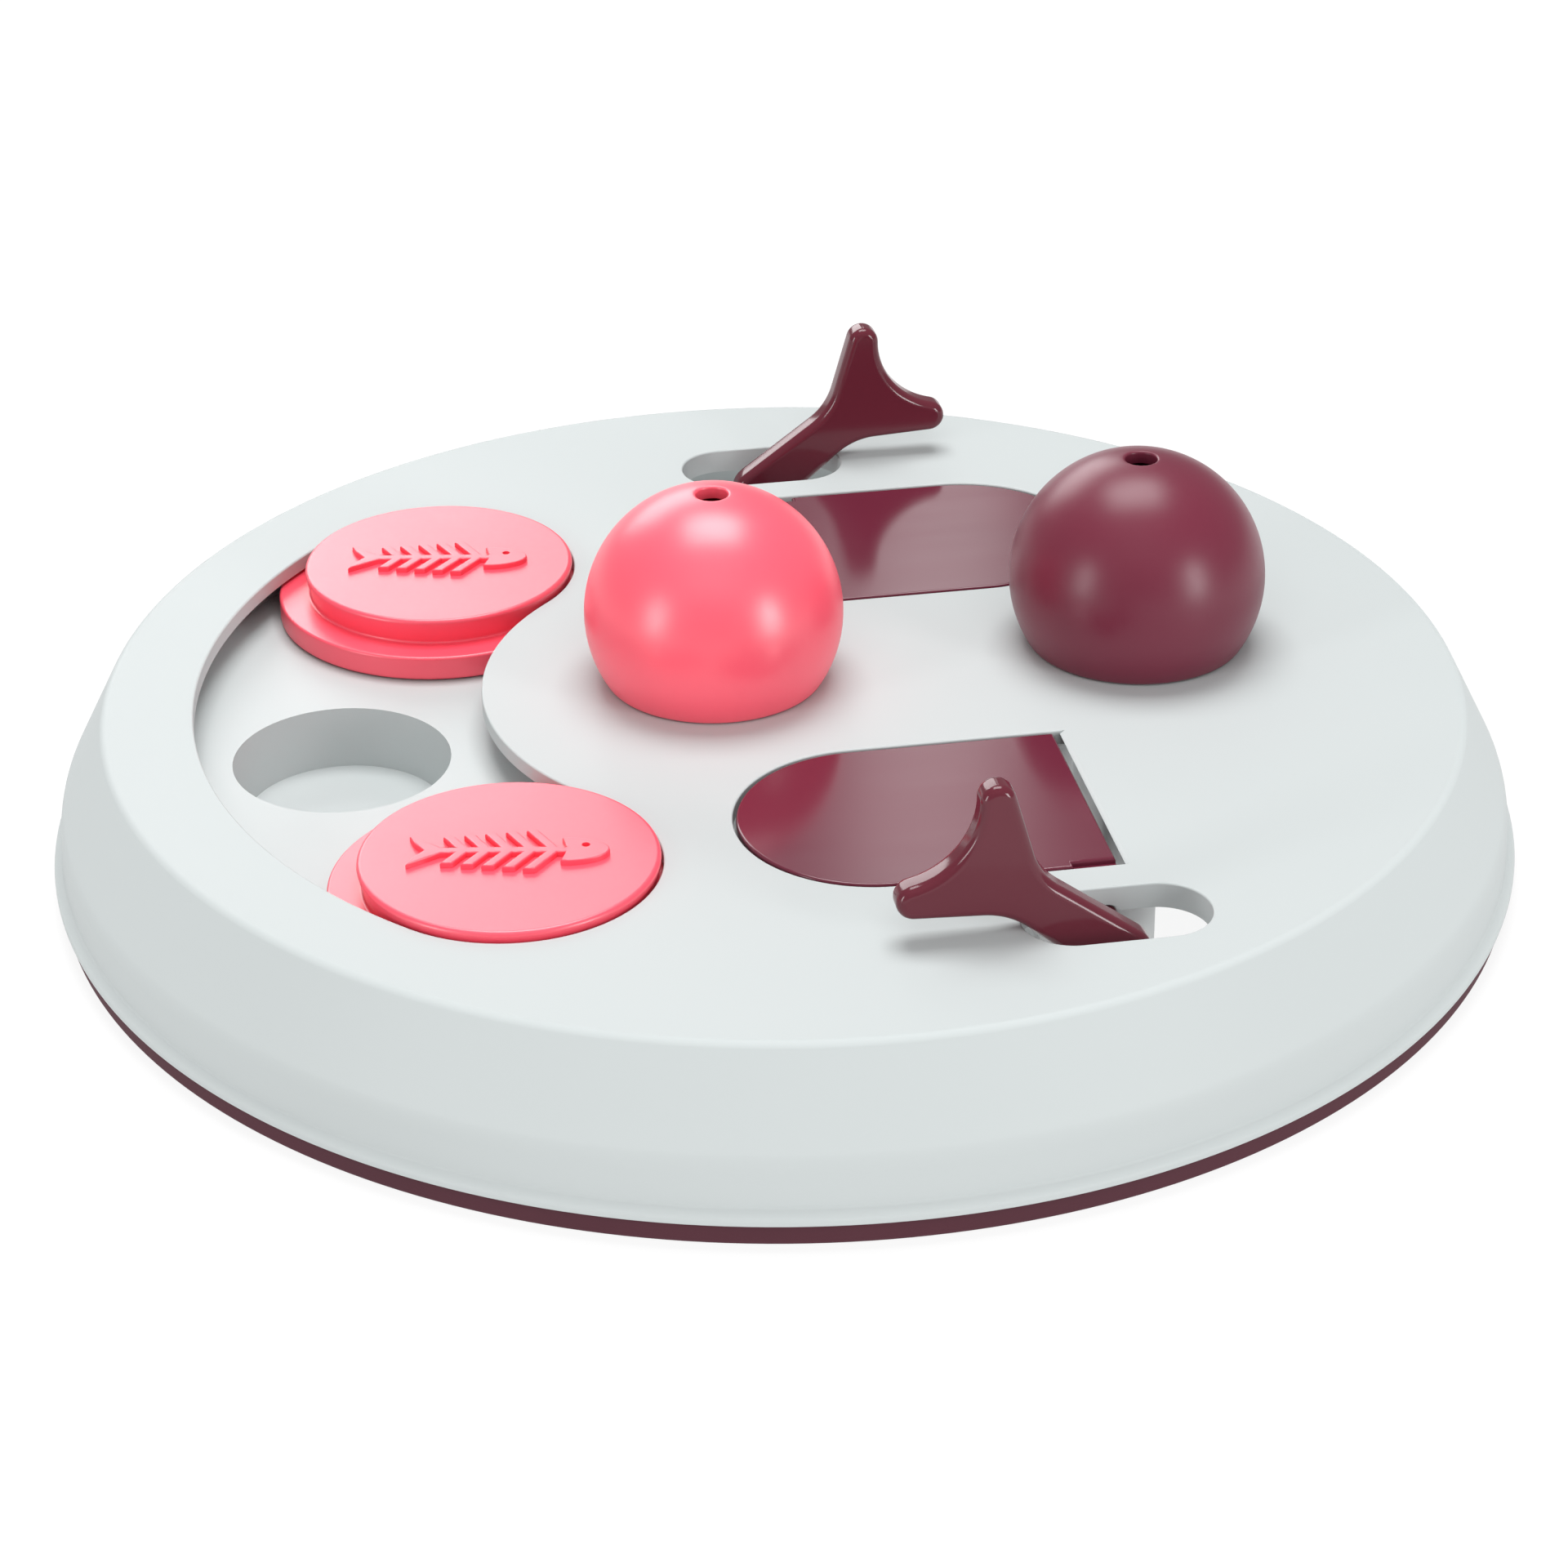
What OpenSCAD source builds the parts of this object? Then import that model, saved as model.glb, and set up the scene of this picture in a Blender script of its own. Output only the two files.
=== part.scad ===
// Round activity board for a cat: two sliding discs over treat hollows, two lids flipped by
// fishtail levers, and two lift-off domes over treat cups.
// The origin is the middle of the board on the table, +Z is up, and sizes are in millimetres.
// The lids and slots run along X, and the back flip unit is the front one turned half round.

/* [Board] */
// Outer radius of the board at its lip
board_r = 115; // [112:0.5:125]
// Height of the top face above the table
board_h = 27.2; // [26.5:0.1:32]
// Thickness of the top plate
plate_t = 2.4; // [2:0.1:2.8]
// Level thickness of the sloping skirt
skirt_t = 2.8; // [2:0.1:3.6]
// How far the top edge lies inside the lip
edge_inset = 9.2; // [8:0.1:10]
// Rounding where the top face meets the slope
edge_round = 1.5; // [0.8:0.1:3]
// Height of the upright lip above the ring
lip_h = 1.1; // [0.8:0.1:2]
// Width of the sloping ledge above the lip
brim_w = 1.4; // [0.8:0.1:2]
// Height of that ledge
brim_h = 1.1; // [0.6:0.1:1.6]
// Height of the steep band above the ledge
band_h = 6.7; // [5:0.1:8]
// How far the band leans in at its top
band_inset = 0.3; // [0:0.1:1]
// Width of the foot under the skirt
foot_w = 9; // [8.5:0.1:10]
// Thickness of the foot
foot_t = 3.2; // [2.8:0.1:4]

/* [Non-slip ring] */
// Height of the ring from the table to the foot
ring_h = 3.5; // [2.5:0.1:5]
// Width of the ring
ring_w = 7.2; // [6:0.1:8]
// How far the ring lies inside the lip
ring_inset = 0.9; // [0.3:0.1:1.5]
// Width of the tongue that holds the ring in the foot
tongue_w = 2; // [1.4:0.1:2.6]
// Height of that tongue
tongue_h = 1.8; // [1:0.1:2.2]

/* [Sliding discs] */
// Distance from the lip to the path of the disc centres
track_inset = 45.5; // [44:0.5:47]
// Angle from the middle of the track to the discs at its ends
track_angle = 45.2; // [42:0.2:48]
// Depth of the track's floor below the top face
track_depth = 7.3; // [6.8:0.1:9]
// Radius of a disc at its top
disc_r = 22; // [20:0.1:23]
// How far a disc stands above the top face
disc_proud = 1.4; // [0.8:0.1:3]
// Rounding of a disc's top edge
disc_round = 0.7; // [0.3:0.1:1]
// How much a disc narrows from its top down to its flange
disc_draft = 0.8; // [0:0.1:1.5]
// How far the flange reaches beyond the disc
flange_reach = 4.5; // [3:0.1:4.8]
// Thickness of the flange
flange_t = 4; // [3:0.1:4.2]
// Wall of a disc around and above its cored underside
disc_wall = 2.4; // [1.6:0.1:3]
// Rim radius of a treat hollow in the track
hollow_r = 16.9; // [14:0.1:18]
// How much a hollow narrows down to its floor
hollow_draft = 1.4; // [0:0.1:3]
// Depth of a hollow below the track
hollow_depth = 9.6; // [6:0.1:11]

/* [Fishbone relief] */
// Height of the relief on a disc
relief_h = 1.2; // [0.6:0.1:2]
// Length of the fishbone from tail to nose
relief_len = 31; // [26:0.5:34]
// Width across the longest ribs
relief_w = 12; // [8:0.5:14]
// Width of the spine and the ribs
bone_w = 1.5; // [1:0.1:2]
// Number of ribs on each side
rib_count = 5; // [3:1:6]
// Slant of the ribs towards the tail
rib_slant = 32; // [15:1:45]
// Turn of the fishbone from the X axis
relief_turn = -9.9; // [-90:0.1:90]

/* [Lids] */
// X of the point that the back flip unit is turned about
flip_mid_x = 22; // [20:0.5:25]
// Distance of each lid's middle line from the X axis
lid_row_y = 45.65; // [45:0.05:48]
// Width of a lid
lid_w = 40.1; // [36:0.1:41]
// Length of a lid from its round end to its hinge end
lid_len = 52.2; // [46:0.1:53]
// Thickness of a lid
lid_t = 2.2; // [1.6:0.1:2.4]
// How far a lid's hinge end reaches past its axle
lid_tail = 3.3; // [2.5:0.1:4]
// Angle through which a lid opens
flip_angle = 74; // [66:1:80]
// Radius of the barrel under a lid's hinge end
barrel_r = 3.8; // [3.2:0.1:4.2]
// Depth of the step at a lid's lever-side hinge corner
step_depth = 0.9; // [0.4:0.1:1.2]
// Length of that step along the lid
step_len = 6.5; // [5:0.5:12]
// Width of that step across the lid
step_w = 1.3; // [0.8:0.1:2]
// Depth of the bevel on the plate's edge behind a lid
brow_depth = 0.5; // [0.3:0.1:0.7]
// Width of that bevel
brow_w = 0.8; // [0.4:0.1:1.2]
// Depth of a treat tray's floor below the top face
treat_depth = 14.2; // [13.5:0.1:16]
// Width of the ledge that a lid's edge lies over
ledge_w = 1.3; // [0.8:0.1:2]

/* [Axles] */
// Radius of an axle
axle_r = 2; // [1.6:0.1:2.1]
// Depth of an axle's centre below the top face
axle_depth = 5.3; // [5.2:0.1:6]
// Distance of the front axle from the middle of the flip units
axle_offset = 12; // [9:0.1:13]
// Height of the axle's driving flat above its centre
axle_flat = 1.3; // [1:0.1:1.5]
// Radius of the head on an axle's inner end
axle_head_r = 2.6; // [2.3:0.1:2.7]
// Thickness of that head
axle_head_t = 1.5; // [1:0.1:2]
// Thickness of the two ears that carry an axle
bearing_t = 2.6; // [2:0.1:3]

/* [Levers] */
// Distance from a lid's middle line to its lever's
lever_offset = 35.6; // [34.5:0.05:36.5]
// Thickness of a lever
lever_t = 4.7; // [4:0.1:6]
// Lean of a lever above level with its lid closed
lever_lean = 38.5; // [37:0.5:45]
// Radius of a lever's hub round its axle
hub_r = 4.4; // [4:0.1:5]
// Half the width of a lever's neck at its waist
neck_half = 3.8; // [3.2:0.1:4.2]
// Distance from the axle to that waist
waist_reach = 15.3; // [14:0.1:17]
// Radius of the curve along the waist
waist_r = 10.8; // [9:0.1:12]
// Distance from the axle to the notch between the tail tips
notch_reach = 30.4; // [29:0.1:32]
// Distance from the axle to the centres of the tail tips
tip_reach = 31.1; // [30:0.1:33]
// Distance of each tail tip's centre from the lever's middle line
tip_spread = 9.4; // [8.5:0.1:10.5]
// Radius of a tail tip
tip_r = 2.6; // [2.2:0.1:3]
// Width of the softened rim on both faces of a lever
rim_w = 0.7; // [0.3:0.1:1]
// Distance from a lid's middle line to its slot's
slot_offset = 34.05; // [33.5:0.05:35.5]
// Length of a lever slot
slot_len = 27.7; // [27:0.1:32]
// Width of a lever slot
slot_w = 14.6; // [12:0.1:15]
// Depth of a slot's wall below the top face
slot_depth = 4; // [3:0.1:4.5]
// Thickness of the collar round a slot
collar_t = 1.6; // [1.2:0.1:1.8]

/* [Domes] */
// Distance from the track tray to the middle of the pink dome
dome_track_gap = 30.5; // [28:0.1:33]
// Distance between the middles of the two domes
dome_spacing = 67.8; // [64:0.1:72]
// Distance of the row of domes behind the X axis
dome_row_y = 3.3; // [0:0.1:3.5]
// Radius of a dome
dome_r = 20.2; // [19:0.1:20.6]
// Height of a dome's crown above its widest level
dome_rise = 20.3; // [19:0.1:24]
// Height of a dome's widest level above its base
dome_waist = 11; // [9:0.1:12]
// Wall of a dome
dome_wall = 2; // [1.6:0.1:2.6]
// Radius of the hole in a dome's crown
dome_hole_r = 2.5; // [1.5:0.1:4]
// Length of the spigot that locates a dome in its cup
spigot_len = 3; // [2:0.1:5]
// Wall of that spigot
spigot_t = 1.8; // [1.2:0.1:2.2]
// Inner radius of a dome's treat cup
cup_r = 14.6; // [13.5:0.1:15]
// Depth of a cup's floor below the top face
cup_depth = 12; // [11:0.1:14]

/* [Trays and screws] */
// Wall of the trays and cups
tray_wall = 1.8; // [1.4:0.1:2]
// Floor of the trays and cups
tray_floor = 1.8; // [1.4:0.1:2.2]
// Length of a screw boss below the top plate
boss_len = 6; // [5:0.1:7]
// Radius of a screw boss
boss_r = 3.2; // [2.8:0.1:3.4]
// Radius of a screw ear
ear_r = 3.6; // [3.4:0.1:3.8]
// Thickness of a screw ear
ear_t = 2.2; // [1.6:0.1:2.6]
// Distance from a tray's outer face to its screws
ear_reach = 3.5; // [3.4:0.1:3.8]
// Radius of a screw's thread
screw_r = 1.4; // [1.1:0.1:1.6]
// Length of thread in the boss
screw_grip = 4.5; // [3.5:0.1:4.8]
// Radius of a screw's head
screw_head_r = 2.7; // [2.2:0.1:3]
// Height of a screw's head
screw_head_h = 1.7; // [1.2:0.1:2.2]
// Angle from the middle of the track to its screws
track_screw_angle = 25; // [15:1:35]

/* [Clearances] */
// Gap round the sliding discs and under them
slide_gap = 0.3; // [0.2:0.05:0.4]
// Gap between a disc's flange and its tray's wall
flange_gap = 0.4; // [0.3:0.05:0.6]
// Gap round a closed lid
lid_gap = 0.5; // [0.3:0.05:0.7]
// Gap under a closed lid
rest_gap = 0.3; // [0.25:0.05:0.4]
// Gap round the turning end of a lid
swing_gap = 0.3; // [0.25:0.05:0.5]
// Gap between a lever's lower edge and the end of its slot
lever_gap = 0.4; // [0.3:0.05:0.8]
// Radial gap of an axle in its bearings
bearing_gap = 0.06; // [0.02:0.01:0.1]
// Gap of an axle in its lid and its lever
fit_gap = 0.04; // [0.02:0.01:0.08]
// Gap round an axle where it passes a slot's collar
pass_gap = 0.4; // [0.3:0.05:0.5]
// Gap round and under a dome
dome_gap = 0.3; // [0.2:0.05:0.5]
// Gap round the ring's tongue
tongue_gap = 0.1; // [0.05:0.01:0.2]
// Gap round a screw in its ear and boss
screw_gap = 0.1; // [0.05:0.01:0.2]

/* [Hidden] */
$fn = 96;

// Colours of the three plastics and the steel
shell_white = "#e2e7e7";
pink = "#ff7f8e";
burgundy = "#6b2c3c";
steel = "#b9bcc0";
// How far a cutting body runs past the face that it cuts
past = 1;
// How far a boss, rib or tongue runs into the body that it grows from
root = 0.5;
// Steps along an arc of an outline
arc_steps = 12;
// Steps along an arc of the track
band_steps = 40;

// Heights of the board's levels
plate_z = board_h - plate_t;
lip_z = ring_h + lip_h;
brim_z = lip_z + brim_h;
band_z = brim_z + band_h;
foot_z = ring_h + foot_t;
ear_z = plate_z - boss_len;
axle_z = board_h - axle_depth;
track_z = board_h - track_depth;
treat_z = board_h - treat_depth;
cup_z = board_h - cup_depth;

// Radii of the skirt
edge_r = board_r - edge_inset;
brim_r = board_r - brim_w;
band_r = brim_r - band_inset;
slope_angle = atan2(board_h - band_z, band_r - edge_r);
function skirt_r(z) = band_r - (band_r - edge_r) * (z - band_z) / (board_h - band_z);
tongue_r = board_r - ring_inset - ring_w / 2;

// Track, disc and tub
track_r = board_r - track_inset;
channel_half = disc_r + slide_gap;
flange_r = disc_r + flange_reach;
tub_half = flange_r + flange_gap;
tub_out = tub_half + tray_wall;
disc_z = track_z + slide_gap;
flange_z = disc_z + flange_t;
disc_top = board_h + disc_proud;
disc_foot_r = disc_r - disc_draft;

// Front flip unit
axle_x = flip_mid_x + axle_offset;
lid_end_x = axle_x + lid_tail;
lid_half = lid_w / 2;
lid_arc_x = lid_end_x - lid_len + lid_half;
lid_y = -lid_row_y;
ledge_z = min(plate_z, board_h - lid_t - rest_gap);
swing_r = norm([lid_tail, axle_depth]);
brow_drop = (axle_depth - brow_depth) * cos(flip_angle);
hinge_x = axle_x + (axle_depth + swing_gap - brow_drop) / sin(flip_angle);
wall_x = axle_x + swing_r + swing_gap;
bay_x = axle_x - norm([barrel_r, axle_depth]) - swing_gap;
bay_z = axle_z - swing_r - swing_gap;
bay_half = lid_half + swing_gap;
ear_half = bay_half + bearing_t;
tray_half = lid_half + tray_wall;
tray_end_x = wall_x + tray_wall;

// Front lever and its slot, whose round end clears the lever's lower edge at the top face
lever_y = lid_y - lever_offset;
slot_y = lid_y - slot_offset;
slot_r = slot_w / 2;
lever_side = abs(lever_y - slot_y) + lever_t / 2;
lever_low = (axle_depth * cos(lever_lean) + neck_half) / sin(lever_lean);
slot_end = sqrt(slot_r * slot_r - lever_side * lever_side) + slot_len / 2 - slot_r;
slot_x = axle_x - lever_low - lever_gap + slot_end;

// Domes
pink_dome_x = tub_out - track_r + dome_track_gap;
burgundy_dome_x = pink_dome_x + dome_spacing;
dome_base_r = sqrt(dome_r * dome_r - dome_waist * dome_waist);
dome_z = board_h + dome_gap / 2;
spigot_r = cup_r - dome_gap;
dome_places = [[pink_dome_x, dome_row_y], [burgundy_dome_x, dome_row_y]];

// Places of the screws
track_screws = [
    for (r = [track_r - tub_out - ear_reach, track_r + tub_out + ear_reach], side = [-1, 1])
        let (a = 180 + side * track_screw_angle) [r * cos(a), r * sin(a)]
];
tray_screws = [
    [lid_arc_x + ear_r, lid_y + tray_half + ear_reach],
    [lid_arc_x, lid_y - tray_half - ear_reach],
    [tray_end_x + ear_reach, lid_y]
];
cup_screws = [
    for (place = dome_places, side = [-1, 1])
        place + [side * (cup_r + tray_wall + ear_reach), 0]
];

// Points along an arc about a centre
function arc(centre, r, from, to, steps = arc_steps) =
    [for (i = [0 : steps])
        let (a = from + (to - from) * i / steps)
            centre + r * [cos(a), sin(a)]];

// A list of points without its last one, where the next arc starts there
function but_last(points) = [for (i = [0 : len(points) - 2]) points[i]];

// Places what it holds as the back flip unit, half a turn from the front one
module at_back() {
    translate([2 * flip_mid_x, 0, 0])
        rotate([0, 0, 180])
            children();
}

// The front and the back copy of what it holds
module both_flips() {
    children();
    at_back()
        children();
}

// A turned bar along Y from one Y to another, on the front axle's line
module axle_bar(r, from_y, to_y) {
    translate([axle_x, max(from_y, to_y), axle_z])
        rotate([90, 0, 0])
            cylinder(r = r, h = abs(to_y - from_y));
}

// A bar with a driving flat on top
module flat_bar(r, flat, from_y, to_y) {
    difference() {
        axle_bar(r, from_y, to_y);
        translate([axle_x - r - past, min(from_y, to_y) - past, axle_z + flat])
            cube([2 * (r + past), abs(to_y - from_y) + 2 * past, r + past]);
    }
}

// The lid's plan: a round end towards -X and a straight hinge end
module lid_plan(grow, end_x) {
    translate([lid_arc_x, lid_y])
        circle(r = lid_half + grow);
    translate([lid_arc_x, lid_y - lid_half - grow])
        square([end_x - lid_arc_x, lid_w + 2 * grow]);
}

// A lever slot's plan
module slot_plan(grow) {
    straight = slot_len - slot_w;
    translate([slot_x, slot_y]) {
        square([straight, slot_w + 2 * grow], center = true);
        for (side = [-1, 1])
            translate([side * straight / 2, 0])
                circle(r = slot_r + grow);
    }
}

// Outline of a band of the given half width along the track, with round ends
function track_outline(half) =
    let (
        start = 180 - track_angle,
        end = 180 + track_angle,
        start_mid = track_r * [cos(start), sin(start)],
        end_mid = track_r * [cos(end), sin(end)]
    )
    concat(
        but_last(arc([0, 0], track_r + half, start, end, band_steps)),
        but_last(arc(end_mid, half, end, end + 180, band_steps)),
        but_last(arc([0, 0], track_r - half, end, start, band_steps)),
        but_last(arc(start_mid, half, start + 180, start + 360, band_steps))
    );

// A band of the given half width along the track, from one height to another
module track_band(half, low_z, high_z) {
    translate([0, 0, low_z])
        linear_extrude(high_z - low_z)
            polygon(track_outline(half));
}

// Places what it holds on the track's path
module at_track(angle) {
    rotate([0, 0, 180 + angle])
        translate([track_r, 0, 0])
            rotate([0, 0, -180 - angle])
                children();
}

// A screw ear at a place, with its bridge to a point on the tray's wall
module ear(place, wall_point) {
    reach = norm(place - wall_point);
    turn = atan2(wall_point[1] - place[1], wall_point[0] - place[0]);
    translate([place[0], place[1], ear_z - ear_t])
        rotate([0, 0, turn]) {
            cylinder(r = ear_r, h = ear_t);
            translate([0, -ear_r, 0])
                cube([reach, 2 * ear_r, ear_t]);
        }
}

// The holes through the ears at the given places
module ear_holes(places) {
    for (place = places)
        translate([place[0], place[1], ear_z - ear_t - past])
            cylinder(r = screw_r + screw_gap, h = ear_t + 2 * past);
}

// Screws driven up from below
module screws(places) {
    color(steel)
        for (place = places)
            translate([place[0], place[1], ear_z - ear_t - screw_head_h]) {
                cylinder(r = screw_r, h = screw_head_h + ear_t + screw_grip);
                cylinder(r = screw_head_r, h = screw_head_h);
            }
}

// Outer skin of the skirt, from the foot up to the middle of the top face
function skirt_outline() = concat(
    [[board_r - foot_w, ring_h], [board_r, ring_h], [board_r, lip_z], [brim_r, brim_z], [band_r, band_z]],
    [for (i = [0 : arc_steps])
        let (a = 90 - slope_angle + slope_angle * i / arc_steps)
            [edge_r - edge_round * tan(slope_angle / 2) + edge_round * cos(a),
             board_h - edge_round + edge_round * sin(a)]],
    [[0, board_h]]
);

// Inner skin, from the middle of the plate's underside back to the foot
function skirt_inside() = [
    [0, plate_z],
    [skirt_r(plate_z) - skirt_t, plate_z],
    [band_r - skirt_t, band_z],
    [band_r - skirt_t, foot_z],
    [board_r - foot_w, foot_z]
];

module boss(place) {
    translate([place[0], place[1], ear_z])
        cylinder(r = boss_r, h = boss_len + root);
}

module boss_bore(place) {
    translate([place[0], place[1], ear_z - past])
        cylinder(r = screw_r + screw_gap, h = screw_grip + screw_gap + past);
}

// What the bevel behind the front lid takes off the plate
module hinge_brow() {
    translate([hinge_x, lid_y + lid_half + lid_gap, board_h])
        rotate([90, 0, 0])
            linear_extrude(lid_w + 2 * lid_gap)
                polygon([[-past, -brow_depth], [0, -brow_depth], [brow_w, 0], [brow_w, past], [-past, past]]);
}

module top_shell() {
    color(shell_white)
        difference() {
            union() {
                rotate_extrude()
                    polygon(concat(skirt_outline(), skirt_inside()));
                both_flips() {
                    translate([0, 0, board_h - slot_depth])
                        linear_extrude(slot_depth - plate_t + root)
                            slot_plan(collar_t);
                    for (place = tray_screws)
                        boss(place);
                }
                for (place = concat(track_screws, cup_screws))
                    boss(place);
            }
            track_band(channel_half, plate_z - past, board_h + past);
            both_flips() {
                translate([0, 0, plate_z - past])
                    linear_extrude(plate_t + 2 * past)
                        lid_plan(lid_gap, hinge_x);
                axle_bar(swing_r + swing_gap, lid_y - lid_half - lid_gap, lid_y + lid_half + lid_gap);
                hinge_brow();
                translate([0, 0, board_h - slot_depth - past])
                    linear_extrude(slot_depth + 2 * past)
                        slot_plan(0);
                axle_bar(axle_r + pass_gap, lever_y, slot_y + slot_r + collar_t + past);
                for (place = tray_screws)
                    boss_bore(place);
            }
            for (place = concat(track_screws, cup_screws))
                boss_bore(place);
            for (place = dome_places)
                translate([place[0], place[1], plate_z - past])
                    cylinder(r = cup_r, h = plate_t + 2 * past);
            translate([0, 0, ring_h - past])
                tube(tongue_r + tongue_w / 2 + tongue_gap, tongue_r - tongue_w / 2 - tongue_gap,
                     tongue_h + tongue_gap + past);
        }
}

// A plain ring on the Z axis
module tube(outer_r, inner_r, h) {
    rotate_extrude()
        translate([inner_r, 0])
            square([outer_r - inner_r, h]);
}

module non_slip_ring() {
    color(burgundy) {
        tube(tongue_r + ring_w / 2, tongue_r - ring_w / 2, ring_h);
        translate([0, 0, ring_h - root])
            tube(tongue_r + tongue_w / 2, tongue_r - tongue_w / 2, tongue_h + root);
    }
}

// A hollow in the track's floor, grown by a wall and let down by a floor
module hollow(grow, drop) {
    floor_r = hollow_r - hollow_draft;
    translate([0, 0, track_z - hollow_depth - drop])
        cylinder(r1 = floor_r + grow, r2 = hollow_r + grow, h = hollow_depth + drop);
}

module track_tray() {
    color(shell_white)
        difference() {
            union() {
                track_band(tub_out, track_z - tray_floor, plate_z);
                for (i = [-1 : 1])
                    at_track(i * track_angle)
                        hollow(tray_wall, tray_floor);
                for (place = track_screws) {
                    out = norm(place) > track_r ? 1 : -1;
                    root_r = track_r + out * (tub_out - tray_wall / 2);
                    ear(place, place * root_r / norm(place));
                }
            }
            track_band(tub_half, track_z, plate_z + past);
            for (i = [-1 : 1])
                at_track(i * track_angle) {
                    hollow(0, 0);
                    translate([0, 0, track_z])
                        cylinder(r = hollow_r, h = past);
                }
            ear_holes(track_screws);
        }
}

// The tray under the front lid, with the two ears that carry its axle
module treat_tray() {
    color(shell_white)
        difference() {
            union() {
                translate([0, 0, treat_z - tray_floor])
                    linear_extrude(plate_z - treat_z + tray_floor)
                        lid_plan(tray_wall, tray_end_x);
                translate([bay_x - tray_wall, lid_y - ear_half, treat_z - tray_floor])
                    cube([tray_end_x - bay_x + tray_wall, 2 * ear_half, plate_z - treat_z + tray_floor]);
                ear(tray_screws[0], tray_screws[0] - [0, ear_reach + tray_wall / 2]);
                ear(tray_screws[1], tray_screws[1] + [0, ear_reach + tray_wall / 2]);
                ear(tray_screws[2], tray_screws[2] - [ear_reach + tray_wall / 2, 0]);
            }
            translate([0, 0, treat_z])
                linear_extrude(plate_z - treat_z + past)
                    lid_plan(-ledge_w, bay_x + past);
            translate([0, 0, ledge_z])
                linear_extrude(plate_z - ledge_z + past)
                    lid_plan(lid_gap, bay_x + past);
            translate([bay_x, lid_y - bay_half, bay_z])
                cube([wall_x - bay_x, 2 * bay_half, plate_z - bay_z + past]);
            axle_bar(axle_r + bearing_gap, lid_y - ear_half - past, lid_y + ear_half + past);
            ear_holes(tray_screws);
        }
}

module front_treat_tray() {
    treat_tray();
}

module back_treat_tray() {
    at_back()
        treat_tray();
}

// A treat cup under a dome, with its two screw ears
module dome_cup(place) {
    color(shell_white)
        difference() {
            union() {
                translate([place[0], place[1], cup_z - tray_floor])
                    cylinder(r = cup_r + tray_wall, h = plate_z - cup_z + tray_floor);
                for (side = [-1, 1])
                    ear(place + [side * (cup_r + tray_wall + ear_reach), 0],
                        place + [side * (cup_r + tray_wall / 2), 0]);
            }
            translate([place[0], place[1], cup_z])
                cylinder(r = cup_r, h = plate_z - cup_z + past);
            ear_holes(cup_screws);
        }
}

module pink_dome_cup() {
    dome_cup(dome_places[0]);
}

module burgundy_dome_cup() {
    dome_cup(dome_places[1]);
}

// The front lid, with the barrel that its axle drives
module lid() {
    color(burgundy)
        difference() {
            union() {
                translate([0, 0, board_h - lid_t])
                    linear_extrude(lid_t)
                        lid_plan(0, lid_end_x);
                axle_bar(barrel_r, lid_y - lid_half, lid_y + lid_half);
                translate([axle_x - barrel_r, lid_y - lid_half, axle_z])
                    cube([barrel_r + lid_tail, lid_w, axle_depth - lid_t + root]);
            }
            flat_bar(axle_r + fit_gap, axle_flat + fit_gap, lid_y - lid_half - past, lid_y + lid_half + past);
            translate([lid_end_x - step_len, lid_y - lid_half - past, board_h - step_depth])
                cube([step_len + past, step_w + past, step_depth + past]);
        }
}

module front_lid() {
    lid();
}

module back_lid() {
    at_back()
        lid();
}

// The front axle: round in its bearings, with a flat in its lid and in its lever
module axle() {
    inner_y = lid_y + ear_half + fit_gap;
    outer_y = lever_y - lever_t / 2 + rim_w;
    flat_top = axle_z + axle_flat;
    color(burgundy)
        difference() {
            union() {
                axle_bar(axle_r, outer_y, inner_y + axle_head_t);
                axle_bar(axle_head_r, inner_y, inner_y + axle_head_t);
            }
            translate([axle_x - axle_r - past, lid_y - lid_half, flat_top])
                cube([2 * (axle_r + past), lid_w, axle_r + past]);
            translate([axle_x - axle_r - past, outer_y - past, flat_top])
                cube([2 * (axle_r + past), lever_t + past, axle_r + past]);
        }
}

module front_axle() {
    axle();
}

module back_axle() {
    at_back()
        axle();
}

// Outline of the fishtail drawn in by inset, with the axle at 0,0 and the tail along +X
function fishtail(inset) =
    let (
        waist = [waist_reach, neck_half + waist_r],
        tip = [tip_reach, tip_spread],
        flare = tip - waist,
        neck_turn = atan2(waist[1], waist[0]) + acos((hub_r + waist_r) / norm(waist)),
        flare_turn = 360 + atan2(flare[1], flare[0]) - acos((waist_r + tip_r) / norm(flare)),
        lag = tip_reach - notch_reach,
        notch_r = (tip_spread * tip_spread + lag * lag - tip_r * tip_r) / (2 * (tip_r + lag)),
        notch_end = atan2(tip_spread, notch_r - lag),
        upper = concat(
            [(hub_r - inset) * [cos(neck_turn), sin(neck_turn)]],
            arc(waist, waist_r + inset, 180 + neck_turn, flare_turn),
            but_last(arc(tip, tip_r - inset, flare_turn - 180, -notch_end)),
            arc([notch_reach + notch_r, 0], notch_r + inset, 180 - notch_end, 180)
        )
    )
    concat(upper, [for (i = [len(upper) - 2 : -1 : 0]) [upper[i][0], -upper[i][1]]]);

// One slice of the front lever, from one Y to another
module lever_slice(inset, low_y, high_y) {
    translate([axle_x, high_y, axle_z])
        rotate([90, 0, 0])
            linear_extrude(high_y - low_y)
                rotate(180 - lever_lean) {
                    polygon(fishtail(inset));
                    circle(r = hub_r - inset);
                }
}

// The front lever: a fishtail plate with a softened rim on both faces
module lever() {
    low_y = lever_y - lever_t / 2;
    high_y = lever_y + lever_t / 2;
    color(burgundy)
        difference() {
            union() {
                lever_slice(0, low_y + rim_w, high_y - rim_w);
                lever_slice(rim_w, low_y, high_y);
            }
            flat_bar(axle_r + fit_gap, axle_flat + fit_gap, low_y + rim_w - fit_gap, high_y + past);
        }
}

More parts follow.
